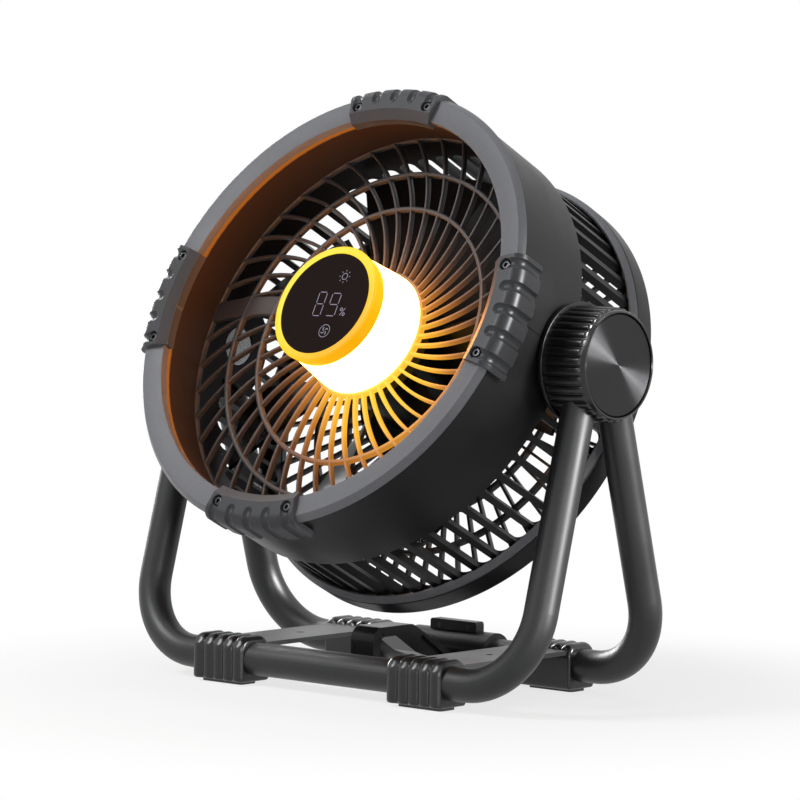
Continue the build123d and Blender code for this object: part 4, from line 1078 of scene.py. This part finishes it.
FRONT_GRILLE = RibGrille(
    name="front_grille_ribs",
    node="front_grille",
    finish=LAMP_GLOW_PAINTED_GRILLE_ABS,
    back_a=28.0,
    depth=4.0,
    facing=1,
    rib_count=45,
    rib_width=2.2,
    rib_line=((43.0, 0.0), (92.0, 9.8), (146.5, 24.5)),
    rings=(92.0, 118.0),
    ring_width=3.0,
    middle_r=46.0,
    bore_r=0.0,
    rim_r=150.5,
    rim_inner_r=143.5,
    channel=((43.0, 164.0), (92.0, 169.0), (146.5, 176.0)),
)
REAR_GRILLE = RibGrille(
    name="rear_grille_ribs",
    node="rear_grille",
    finish=GRILLE_ABS,
    back_a=-68.2,
    depth=4.8,
    facing=-1,
    rib_count=60,
    rib_width=2.0,
    rib_line=((62.6, 0.0), (146.0, 0.0)),
    rings=(88.0, 115.0),
    ring_width=3.0,
    middle_r=64.5,
    bore_r=60.3,
    rim_r=150.5,
    rim_inner_r=144.0,
)


# ------------------------------------------------------------------ bumpers
@dataclass
class CornerBumper:
    """One rubber bumper: a band round the bezel's edge with five scooped grooves.

    The grooves start round in the front face, run over the outer corner and out at the rear.
    A broad slope leads from the front face down to the inner lip.
    The outer two start at the pockets of the two socket screws.
    """

    corner: Corner
    outer_r: float = 158.5
    front_a: float = 80.0
    rear_a: float = 57.0
    corner_r: float = 8.0
    lip_r: float = 135.0
    lip_width: float = 6.4
    lip_drop: float = 4.4
    span_deg: float = 29.0
    groove_pitch_deg: float = 6.0
    groove_half_width: float = 3.6
    groove_depth: float = 1.9
    groove_start: float = 1.5
    screw_lean_deg: float = 12.0
    screw_r: float = 146.0
    pocket_r: float = 3.7
    pocket_depth: float = 3.3
    pocket_wall: float = 0.5
    # The inner side follows the housing and the bezel's edge with 0.1 mm to spare.
    seat: tuple[Point, ...] = (
        (154.1, 57.0), (154.1, 71.9), (156.3, 71.9), (152.4, 77.1), (137.9, 75.5), (137.9, 69.0)
    )
    edge_width: float = 0.5
    crease_deg: float = 30.0
    sections: int = 265
    bend_count: int = 19
    front_step: float = 0.35
    side_step: float = 0.9

    @property
    def bend(self) -> Array:
        """The middle of the rounded outer corner, as (radius, a)."""
        return np.array([self.outer_r, self.front_a]) - self.corner_r

    def build(self) -> None:
        """Makes the bumper's piece."""
        half = self.span_deg / 2
        turn = np.radians(np.linspace(-half, half, self.sections))[:, None]
        outline = self.outline()
        sunk = outline - self.sunk(turn, outline)[..., None] * self.normals(outline)
        angle = turn + radians(self.corner.value)
        node = f"{self.corner.name.lower()}_bumper"
        shell = Shell(f"{node}_band")
        shell.bar(HEAD.polar(sunk[..., 0], angle, sunk[..., 1]))
        made = shell.piece("head", BUMPER_RUBBER, (node,), self.crease_deg)
        soften(made, self.edge_width)

    def outline(self) -> Array:
        """The closed section as (radius, a), clockwise from the inner front edge.

        Returns:
            The section's points, one to a row.
        """
        turn = np.radians(np.linspace(90, 0, self.bend_count))
        corner = self.bend + self.corner_r * np.stack([np.cos(turn), np.sin(turn)], -1)
        start = (self.lip_r + self.lip_width, self.front_a)
        front = dense(np.array([start, corner[0]]), self.front_step)
        side = dense(np.array([corner[-1], (self.outer_r, self.rear_a)]), self.side_step)
        lip = ((self.lip_r, self.seat[-1][1]), (self.lip_r, self.front_a - self.lip_drop))
        return np.concatenate([front[:-1], corner, side[1:], self.seat, lip])

    def normals(self, outline: Array) -> Array:
        """Unit normals of the outer faces: +a on the front, turning to +radius at the corner.

        Args:
            outline: The section's points.

        Returns:
            One normal for each point, as (radius, a).
        """
        reach = np.clip(outline - self.bend, 0, None)
        reach[np.hypot(*reach.T) < TINY] = (1.0, 0.0)
        return reach / np.hypot(*reach.T)[:, None]

    def sunk(self, turn: Array, outline: Array) -> Array:
        """How far each point lies below the plain band.

        A groove is a cylinder of radius R sunk by its depth: depth = √(R² − ρ²) − (R − depth),
        where ρ is the distance from the groove's line, or from its start beyond its end. A screw
        pocket is a flat-bottomed round hole with a short soft wall.

        Args:
            turn: Angles of the sections from the bumper's middle, in a column.
            outline: The section's points.

        Returns:
            Depths in millimetres, sections by points.
        """
        outer = self.outer_face(outline)
        along = self.along(outline)
        round_r = (self.groove_half_width**2 + self.groove_depth**2) / (2 * self.groove_depth)
        sunk = np.zeros((len(turn), len(outline)))
        for step in (-2, -1, 0, 1, 2):
            across = (turn - radians(step * self.groove_pitch_deg)) * outline[None, :, 0]
            rho2 = across**2 + np.minimum(along + self.groove_start, 0)[None, :] ** 2
            cut = np.sqrt(np.clip(round_r**2 - rho2, 0, None)) - (round_r - self.groove_depth)
            sunk = np.maximum(sunk, cut)
        for lean in (-self.screw_lean_deg, self.screw_lean_deg):
            across = (turn - radians(lean)) * outline[None, :, 0]
            rho = np.hypot(across, outline[None, :, 0] - self.screw_r)
            front = outline[None, :, 1] > self.front_a - TOUCH
            wall = np.clip((self.pocket_r - rho) / self.pocket_wall + 0.5, 0, 1) * front
            sunk = np.maximum(sunk, self.pocket_depth * wall)
        return sunk * outer[None, :]

    def outer_face(self, outline: Array) -> Array:
        """One on the front face, the outer corner and the side, and zero inside.

        Args:
            outline: The section's points.

        Returns:
            One or zero for each point.
        """
        front = outline[:, 1] > self.front_a - TOUCH
        side = outline[:, 0] > self.outer_r - TOUCH
        reach = outline - self.bend
        corner = (reach.min(-1) > -TINY) & (np.abs(np.hypot(*reach.T) - self.corner_r) < TOUCH)
        return (front | side | corner).astype(float)

    def along(self, outline: Array) -> Array:
        """Distance along the outer faces from the start of the rounded corner.

        Args:
            outline: The section's points.

        Returns:
            The distance of each point, below zero on the front face.
        """
        steps = np.hypot(*np.diff(outline, axis=0).T)
        length = np.concatenate([[0.0], np.cumsum(steps)])
        start = np.argmin(np.hypot(*(outline - (self.bend[0], self.front_a)).T))
        return length - length[start]


@dataclass(frozen=True)
class SocketScrews:
    """The eight cap screws of the bumpers, each with a rounded head and a hexagon socket."""

    circle_r: float = 146.0
    lean_deg: float = 12.0
    head_r: float = 3.0
    top_a: float = 78.8
    head: float = 2.4
    shank_r: float = 1.5
    length: float = 14.0
    flats: float = 2.7
    socket_depth: float = 1.5
    chamfer: float = 0.12
    edge: float = 0.6

    def build(self) -> None:
        """Makes all the screws as one piece in place of their node."""
        shell = Shell("bumper_cap_screws")
        for corner in Corner:
            for lean in (-self.lean_deg, self.lean_deg):
                shell.add(self.screw(radians(corner.value + lean)), wrap_columns=True)
        shell.piece("head", SOCKET_STEEL, ("bumper_screws",))

    def screw(self, angle: float, columns: int = 48) -> Array:
        """One screw: rows of (radius, height), the socket's rows on a hexagon.

        The hexagon's radius is half its flats over cos of the angle from the nearest flat.

        Args:
            angle: Where the screw stands on its circle, in radians.
            columns: How many points a row has.

        Returns:
            Points in metres, rows by columns by three.
        """
        turn = np.arange(columns) / columns * 2 * np.pi
        nearest = (turn + np.pi / 6) % (np.pi / 3) - np.pi / 6
        hexagon = self.flats / 2 / np.cos(nearest)
        bend = np.radians(np.linspace(90, 0, 6))
        rows = [  # radius, and depth below the top
            (0.0, self.socket_depth),
            (hexagon, self.socket_depth),
            (hexagon, self.chamfer),
            (hexagon + self.chamfer, 0.0),
            *zip(self.head_r - self.edge * (1 - np.cos(bend)), self.edge * (1 - np.sin(bend))),
            (self.head_r, self.head),
            (self.shank_r, self.head),
            (self.shank_r, self.head + self.length),
            (0.0, self.head + self.length),
        ]
        radius = np.stack([np.broadcast_to(row, columns) for row, _ in rows])
        height = self.top_a - np.array([depth for _, depth in rows])[:, None]
        x = self.circle_r * cos(angle) + radius * np.cos(turn)
        q = self.circle_r * sin(angle) + radius * np.sin(turn)
        return HEAD.place(x, q, height)


# ------------------------------------------------------------------ hubs
RISE = 0.02  # millimetres over which the ribs rise from the rim


@dataclass(frozen=True)
class RibbedHub:
    """One hub: a cup about the tilt axis with rounded ribs along its side.

    Radius = the side's plain radius + rib height · √(1 − u²), where u runs from -1 to 1 across
    a rib, and the ribs slope down to the shoulder at their outer ends.
    """

    side: Side
    back_x: float = 155.4
    face_x: float = 189.8
    rim_r: float = 39.25
    rim_width: float = 2.8
    side_r: float = 35.5
    shoulder_r: float = 34.9
    shoulder: float = 3.4
    face_r: float = 34.4
    rib_height: float = 1.5
    rib_count: int = 36
    rib_share: float = 0.86
    rib_slope: float = 2.0
    cap_r: float = 33.0
    recess: float = 5.3
    room_r: float = 13.0
    floor: float = 19.6
    axle_r: float = 7.06
    rim_round: float = 0.3
    columns_per_rib: int = 20
    corner_steps: int = 4
    run_count: int = 8
    slope_count: int = 7

    def build(self) -> None:
        """Makes the hub's piece in place of its node."""
        columns = self.columns_per_rib * self.rib_count
        angle = np.arange(columns) / columns * 2 * np.pi
        u = (angle * self.rib_count / np.pi) % 2 - 1
        crest = np.sqrt(np.clip(1 - (u / self.rib_share) ** 2, 0, None))
        radius, x, share = self.stations()
        grown = radius[:, None] + share[:, None] * self.rib_height * crest
        node = f"{self.side.name.lower()}_hub"
        shell = Shell(f"{node}_cup")
        shell.add(HEAD.hub(self.side)(grown, angle[None, :], x[:, None]), True, True)
        shell.piece("stand", POLISHED_ABS, (node,), crease_deg=40.0)

    def stations(self) -> tuple[Array, Array, Array]:
        """Rows of the closed section: radius, distance from the middle, and share of a rib.

        Returns:
            The three, one value for each row.
        """
        start = self.back_x + self.rim_width
        end = self.face_x - self.shoulder
        corners = np.array([(self.rim_r, self.back_x), (self.rim_r, start), (self.side_r, start)])
        radii = np.array([self.rim_round, self.rim_round, 0.0])
        rim = rounded(corners, radii, self.corner_steps)[: -self.corner_steps - 1]
        run = np.linspace(start + self.rim_round, end - self.rib_slope, self.run_count)
        x = np.concatenate([[start + RISE], run])
        slope = np.linspace(0, 1, self.slope_count)[1:]
        ribs_x = np.concatenate([x, end - self.rib_slope * (1 - slope)])
        ribs_share = np.concatenate([np.ones(len(x)), np.sqrt(np.clip(1 - slope**2, 0, 1))])
        drop = (ribs_x - start) / (end - start)
        ribs_r = self.side_r + (self.shoulder_r - self.side_r) * drop
        inner = np.array([
            (self.face_r + 0.15, self.face_x - 1.0),  # the face's outer edge, eased
            (self.face_r - 0.1, self.face_x - 0.4),
            (self.face_r - 0.5, self.face_x),
            (self.cap_r + 0.45, self.face_x),  # the edge of the cap's recess, eased
            (self.cap_r, self.face_x - 0.45),
            (self.cap_r, self.face_x - self.recess),
            (self.room_r, self.face_x - self.recess),
            (self.room_r, self.back_x + self.floor),
            (self.axle_r, self.back_x + self.floor),
            (self.axle_r, self.back_x),
        ])
        radius = np.concatenate([rim[:, 0], [self.side_r], ribs_r, inner[:, 0]])
        place = np.concatenate([rim[:, 1], [start], ribs_x, inner[:, 1]])
        share = np.concatenate([np.zeros(len(rim) + 1), ribs_share, np.zeros(len(inner))])
        return radius, place, share


# ------------------------------------------------------------------ feet
@dataclass(frozen=True)
class FootBlock:
    """One foot: a rounded rubber block round the tube with five rounded ridges over it.

    The block's section is pushed out along its normals by ridge · (1 − u²)^power on its outer
    and top faces, where u runs from -1 to 1 across a ridge, and drawn in at both ends.
    """

    end: End
    side: Side
    middle_x: float = 87.0
    tube_y: float = 65.0
    width: float = 46.0
    inner: float = 14.0
    outer: float = 12.2
    bottom: float = 2.0
    top: float = 30.5
    corner: float = 7.0
    low_corner: float = 2.5
    ridge: float = 1.8
    ridge_count: int = 5
    ridge_pitch: float = 9.0
    ridge_share: float = 0.94
    ridge_power: float = 0.8  # a little fuller than a circle's arc
    end_round: float = 1.8
    front_fade: float = 2.0
    low_fade: float = 1.2
    back_fade: float = 3.0
    run_count: int = 241
    run_cut: int = 10  # points at each end of the run that give way to the rounded end's
    end_count: int = 7
    corner_steps: int = 8
    point_gap: float = 1.5

    def build(self) -> None:
        """Makes the foot's piece in place of its node."""
        x, pushed, inset = self.stations()
        outline, mask = self.section()
        normal = outline_normals(outline)
        grown = outline[None] + (pushed[:, None] * mask[None])[..., None] * normal[None]
        grown = grown - inset[:, None, None] * normal[None]
        name = f"{self.end.name.lower()}_{self.side.name.lower()}_foot"
        away = self.end.value * (self.tube_y + grown[..., 0]) * MM + HEAD.pivot[1]
        along = np.broadcast_to((self.side.value * self.middle_x + x)[:, None] * MM, away.shape)
        shell = Shell(f"{name}_block")
        shell.bar(np.stack([along, away, grown[..., 1] * MM], -1))
        shell.piece("stand", FOOT_RUBBER, (name,), crease_deg=40.0)

    def stations(self) -> tuple[Array, Array, Array]:
        """Places along the tube, with the ridge's height and the inset at each.

        Returns:
            The three, one value for each place.
        """
        half = self.width / 2
        turn = np.radians(np.linspace(0, 90, self.end_count))
        ends = half - self.end_round * (1 - np.sin(turn))
        run = np.linspace(-half, half, self.run_count)[self.run_cut : -self.run_cut]
        x = np.concatenate([-ends[::-1], run, ends])
        x = np.unique(np.round(x, 5))
        step = (x / self.ridge_pitch + self.ridge_count / 2) % 1 * 2 - 1
        within = np.abs(x) <= self.ridge_count * self.ridge_pitch / 2
        u = np.clip(np.abs(step) / self.ridge_share, 0, 1)
        pushed = self.ridge * (1 - u * u) ** self.ridge_power * within
        gap = np.clip((half - np.abs(x)) / self.end_round, 0, 1)
        inset = self.end_round * (1 - np.sqrt(1 - (1 - gap) ** 2))
        return x, pushed, inset

    def section(self) -> tuple[Array, Array]:
        """The block's rounded section as (away from the pivot, up), and where ridges stand.

        Returns:
            The section's points, and a share from 0 to 1 for each.
        """
        inner, outer, bottom, top = -self.inner, self.outer, self.bottom, self.top
        corners = np.array([(inner, bottom), (outer, bottom), (outer, top), (inner, top)])
        radii = np.array([self.low_corner, self.low_corner, self.corner, self.corner])
        plain = rounded(corners, radii, self.corner_steps)
        outline = dense(np.concatenate([plain, plain[:1]]), self.point_gap)[:-1]
        away, up = outline.T
        front = np.clip((away - outer + self.front_fade) / self.front_fade, 0, 1)
        over = np.clip((up - top + self.corner) / self.corner, 0, 1)
        low = np.clip((up - bottom) / self.low_fade, 0, 1)
        back = np.clip((away - inner) / self.back_fade, 0, 1)
        return outline, np.maximum(front * low, over * back)


# ------------------------------------------------------------------ housing joint
@dataclass(frozen=True)
class PartingLine:
    """The joint of the two housing shells, from a side bumper back to the pivot boss."""

    side: Side
    housing_r: float = 154.0
    front_a: float = 57.0
    back_a: float = 33.5
    width: float = 0.7
    proud: float = 0.04
    sunk: float = 0.5
    sections: int = 24

    def build(self) -> None:
        """Makes the line as a thin bar that lies in the housing's surface."""
        low, high = self.housing_r - self.sunk, self.housing_r + self.proud
        half = self.width / 2
        corners = np.array([(low, -half), (high, -half), (high, half), (low, half)])
        along = np.linspace(self.back_a, self.front_a, self.sections)[:, None]
        x, q = self.side.value * corners[None, :, 0], corners[None, :, 1]
        shell = Shell(f"{self.side.name.lower()}_housing_joint")
        shell.bar(HEAD.place(x, q, along))
        shell.piece("head", PARTING_SHADE)


# ------------------------------------------------------------------ display
Mark = tuple[Array, float]  # a path in the display's plane, and its width


@dataclass(frozen=True)
class DisplayMarks:
    """Lit marks on the display: two seven-segment figures, a percent sign, a sun and a fan."""

    face_a: float = 77.03
    thickness: float = 0.06
    point_gap: float = 0.35
    stroke: float = 0.55
    segment_gap: float = 0.6

    def build(self) -> None:
        """Makes all the marks as one piece of thin slabs."""
        shell = Shell("display_marks")
        for path, width in self.strokes():
            shell.add(self.slab(path, width), wrap_columns=True)
        shell.piece("head", LIT_MARKS)

    def slab(self, path: Array, width: float) -> Array:
        """A thin bar along a flat path, with rounded ends unless the path closes on itself.

        Args:
            path: The bar's middle line in the display's plane.
            width: Its width.

        Returns:
            Points in metres, one section to a row.
        """
        closed = bool(np.hypot(*(path[0] - path[-1])) < TINY)
        path = dense(path, self.point_gap)
        slope = np.gradient(path, axis=0)
        if closed:
            slope[0] = slope[-1] = path[1] - path[-2]
        slope /= np.hypot(*slope.T)[:, None]
        normal = np.stack([-slope[:, 1], slope[:, 0]], -1)
        step = np.hypot(*np.diff(path, axis=0).T)
        share = np.concatenate([[0.0], np.cumsum(step)]) / step.sum()
        scale = np.ones(len(path)) if closed else round_ends(share, step.sum(), width / 2)
        half = 0.5 * width * scale
        left = path + normal * half[:, None]
        right = path - normal * half[:, None]
        top, bottom = self.face_a + self.thickness, self.face_a
        corners = ((left, top), (right, top), (right, bottom), (left, bottom))
        return np.stack([HEAD.place(p[:, 0], p[:, 1], np.full(len(p), a)) for p, a in corners], 1)

    def strokes(self) -> list[Mark]:
        """Every mark, at its place on the display.

        Returns:
            The marks in the order in which they are made.
        """
        return [
            *self.figure(-3.9, -0.65, 6.8, 16.9, "abcdefg"),
            *self.figure(8.2, -0.75, 7.6, 16.1, "abcdfg"),
            *self.percent(17.9, -5.6),
            *self.sun(9.4, 19.5),
            *self.fan(8.1, -19.6),
        ]

    def figure(self, x: float, q: float, width: float, height: float, lit: str) -> list[Mark]:
        """A seven-segment figure, its lit segments named a to g clockwise from the top.

        Args:
            x: Where its middle is, across.
            q: Where its middle is, up.
            width: Its width.
            height: Its height.
            lit: The names of its lit segments.

        Returns:
            One mark for each lit segment.
        """
        w, h, gap = width / 2, height / 2, self.segment_gap
        ends = {
            "a": ((-w + gap, h), (w - gap, h)),
            "b": ((w, h - gap), (w, gap)),
            "c": ((w, -gap), (w, -h + gap)),
            "d": ((-w + gap, -h), (w - gap, -h)),
            "e": ((-w, -gap), (-w, -h + gap)),
            "f": ((-w, h - gap), (-w, gap)),
            "g": ((-w + gap, 0.0), (w - gap, 0.0)),
        }
        return [(np.array([(x, q)]) + ends[name], self.stroke) for name in lit]

    def circle(self, x: float, q: float, radius: float, count: int = 33) -> Array:
        """A closed circle of points."""
        turn = np.linspace(0, 2 * np.pi, count)
        return np.stack([x + radius * np.cos(turn), q + radius * np.sin(turn)], -1)

    def percent(self, x: float, q: float, width: float = 0.5) -> list[Mark]:
        """A percent sign from two small circles and a slanted bar.

        Args:
            x: Where its middle is, across.
            q: Where its middle is, up.
            width: Width of its strokes.

        Returns:
            The sign's marks.
        """
        return [
            (self.circle(x - 1.5, q + 1.7, 0.95, 17), width),
            (self.circle(x + 1.5, q - 1.7, 0.95, 17), width),
            (np.array([(x - 1.7, q - 2.7), (x + 1.7, q + 2.7)]), width),
        ]

    def sun(self, x: float, q: float, width: float = 0.45) -> list[Mark]:
        """A circle with eight short rays, each from 3.5 to 4.8 mm from its middle.

        Args:
            x: Where its middle is, across.
            q: Where its middle is, up.
            width: Width of its strokes.

        Returns:
            The sign's marks.
        """
        marks = [(self.circle(x, q, 2.2), width)]
        for turn in np.arange(8) * np.pi / 4:
            way = np.array([np.cos(turn), np.sin(turn)])
            marks.append((np.array([[x, q] + way * 3.5, [x, q] + way * 4.8]), width))
        return marks

    def fan(self, x: float, q: float) -> list[Mark]:
        """A circle round four curved blades, each an arc of nine tenths of a half turn.

        Args:
            x: Where its middle is, across.
            q: Where its middle is, up.

        Returns:
            The sign's marks.
        """
        marks = [(self.circle(x, q, 4.4, 41), 0.42)]
        sweep = np.linspace(0, np.pi * 0.9, 12)
        for turn in np.arange(4) * np.pi / 2 + 0.3:
            middle = np.array([x, q]) + 1.55 * np.array([np.cos(turn), np.sin(turn)])
            arc = np.stack([np.cos(sweep + turn), np.sin(sweep + turn)], -1) * 1.15
            marks.append((middle + arc, 0.6))
        return marks


# ------------------------------------------------------------------ studio
FAN_MIDDLE = Vector((0.0, 0.0, 0.2))


@dataclass(frozen=True)
class SoftLamp:
    """A rectangular soft lamp that points at the fan's middle."""

    name: str
    place: Triple
    width: float
    height: float
    power: float
    shine_only: bool = False  # a reflector that shows in gloss but doesn't light the object

    def build(self) -> None:
        """Makes the lamp."""
        lamp = bpy.data.lights.new(self.name, "AREA")
        lamp.shape = "RECTANGLE"
        lamp.size = self.width
        lamp.size_y = self.height
        lamp.energy = self.power
        made = put(self.name, lamp)
        made.location = self.place
        aim = FAN_MIDDLE - Vector(self.place)
        made.rotation_euler = aim.to_track_quat("-Z", "Y").to_euler()
        made.visible_diffuse = not self.shine_only


LAMPS = (  # name, place, width, height, power in watts, and whether it is for shine only
    SoftLamp("key_lamp", (-1.3, -1.9, 2.3), 1.0, 1.0, 54.0),
    SoftLamp("fill_lamp", (2.4, -1.6, 1.5), 1.0, 1.0, 6.0),
    SoftLamp("top_lamp", (0.0, 0.4, 2.9), 1.2, 1.2, 14.0),
    SoftLamp("right_strip", (2.25, 0.6, 1.02), 0.42, 1.36, 210.0, True),
    SoftLamp("right_core", (2.24, 0.6, 0.78), 0.42, 0.08, 36.0, True),
    SoftLamp("low_card", (2.0, -1.3, 0.25), 0.5, 0.25, 12.0, True),
    SoftLamp("left_strip", (-2.25, 0.6, 1.02), 0.42, 1.36, 60.0, True),
)


@dataclass(frozen=True)
class Studio:
    """White studio: pale floor, white surroundings and soft lamps. Its sizes are metres."""

    lens_mm: float = 168.7
    sensor_mm: float = 36.0
    azimuth_deg: float = 41.96
    elevation_deg: float = 3.29
    roll_deg: float = 0.54
    distance: float = 2.4777
    target: Triple = (0.00458, 0.00354, 0.18991)
    sight: float = 30.0
    floor_half: float = 6.0
    shadow_r: Point = (0.2, 0.42)  # where the floor starts to turn white, and where it is
    floor_white: float = 0.75  # the share of plain white under the fan
    world_light: float = 0.27

    def build(self) -> None:
        """Makes the floor, the surroundings, the lamps and the camera."""
        self.add_floor()
        self.add_surroundings()
        for lamp in LAMPS:
            lamp.build()
        self.add_camera()
        bpy.context.scene.view_settings.view_transform = "Standard"

    def seen(self, tree: Tree) -> Socket | Node:
        """One for rays from the camera, a reflection or glass, and zero for other rays.

        Args:
            tree: The node tree of the floor or the surroundings.

        Returns:
            What gives the one or zero.
        """
        path = add_node(tree, "LightPath")
        seen = path.outputs["Is Camera Ray"]
        for ray in ("Is Glossy Ray", "Is Transmission Ray"):
            seen = add_node(tree, "Math", {0: seen, 1: path.outputs[ray]}, operation="MAXIMUM")
        return seen

    def add_floor(self) -> None:
        """A pale floor that keeps the shadow near the fan and turns plain white further out."""
        mesh = bpy.data.meshes.new("floor")
        ways = ((-1, -1), (1, -1), (1, 1), (-1, 1))
        corners = [(x * self.floor_half, y * self.floor_half, 0.0) for x, y in ways]
        mesh.from_pydata(corners, [], [(0, 1, 2, 3)])
        made = bpy.data.materials.new("pale_floor_paint")
        tree = empty_tree(made)
        paint = add_node(tree, "BsdfDiffuse", {"Color": linear("#f6f6f6"), "Roughness": 0.5})
        white = add_node(tree, "Emission", {"Color": linear("#ffffff"), "Strength": 1.0})
        place = add_node(tree, "TexCoord").outputs["Object"]
        start, end = self.shadow_r
        fade = {
            "Value": add_node(tree, "VectorMath", {0: place}, operation="LENGTH"),
            "From Min": start,
            "From Max": end,
            "To Min": self.floor_white,
        }
        share = add_node(tree, "MapRange", fade, interpolation_type="SMOOTHSTEP")
        factor = add_node(tree, "Math", {0: share, 1: self.seen(tree)}, operation="MULTIPLY")
        mixed = add_node(tree, "MixShader", {0: factor, 1: paint, 2: white})
        add_node(tree, "OutputMaterial", {"Surface": mixed})
        mesh.materials.append(made)
        put("floor", mesh)

    def add_surroundings(self) -> None:
        """White where it is seen directly, reflected or through glass, and softer as a light."""
        world = bpy.data.worlds.new("white_studio")
        bpy.context.scene.world = world
        tree = empty_tree(world)
        level = {"Value": self.seen(tree), "To Min": self.world_light, "To Max": 1.0}
        strength = add_node(tree, "MapRange", level)
        shine = add_node(tree, "Background", {"Color": linear("#ffffff"), "Strength": strength})
        add_node(tree, "OutputWorld", {"Surface": shine})

    def add_camera(self) -> None:
        """A long lens at the given direction and distance, rolled a little."""
        az, el, roll = (radians(v) for v in (self.azimuth_deg, self.elevation_deg, self.roll_deg))
        back = Vector((sin(az) * cos(el), -cos(az) * cos(el), sin(el)))
        right = Vector((cos(az), sin(az), 0.0))
        up = back.cross(right)
        tilted_right = right * cos(roll) + up * sin(roll)
        tilted_up = up * cos(roll) - right * sin(roll)
        lens = bpy.data.cameras.new("view")
        lens.lens = self.lens_mm
        lens.sensor_width = self.sensor_mm
        lens.clip_end = self.sight
        camera = put("view", lens)
        turn = Matrix((tilted_right, tilted_up, back)).transposed().to_4x4()
        place = Vector(self.target) + back * self.distance
        camera.matrix_world = Matrix.Translation(place) @ turn
        bpy.context.scene.camera = camera


def main() -> None:
    """Builds every piece and the studio."""
    logging.basicConfig(level=logging.INFO, format="%(message)s")
    finish_nodes()
    for ring in (BEZEL, REAR_RIM, REAR_RIM_PAINTED_HIGHLIGHT, DIFFUSER, GLOW_RING):
        ring.build()
    for grille in (FRONT_GRILLE, REAR_GRILLE):
        grille.build()
    for corner in Corner:
        CornerBumper(corner).build()
    SocketScrews().build()
    for side in Side:
        RibbedHub(side).build()
        PartingLine(side).build()
        for end in End:
            FootBlock(end, side).build()
    DisplayMarks().build()
    Studio().build()


if __name__ == "__main__":
    main()
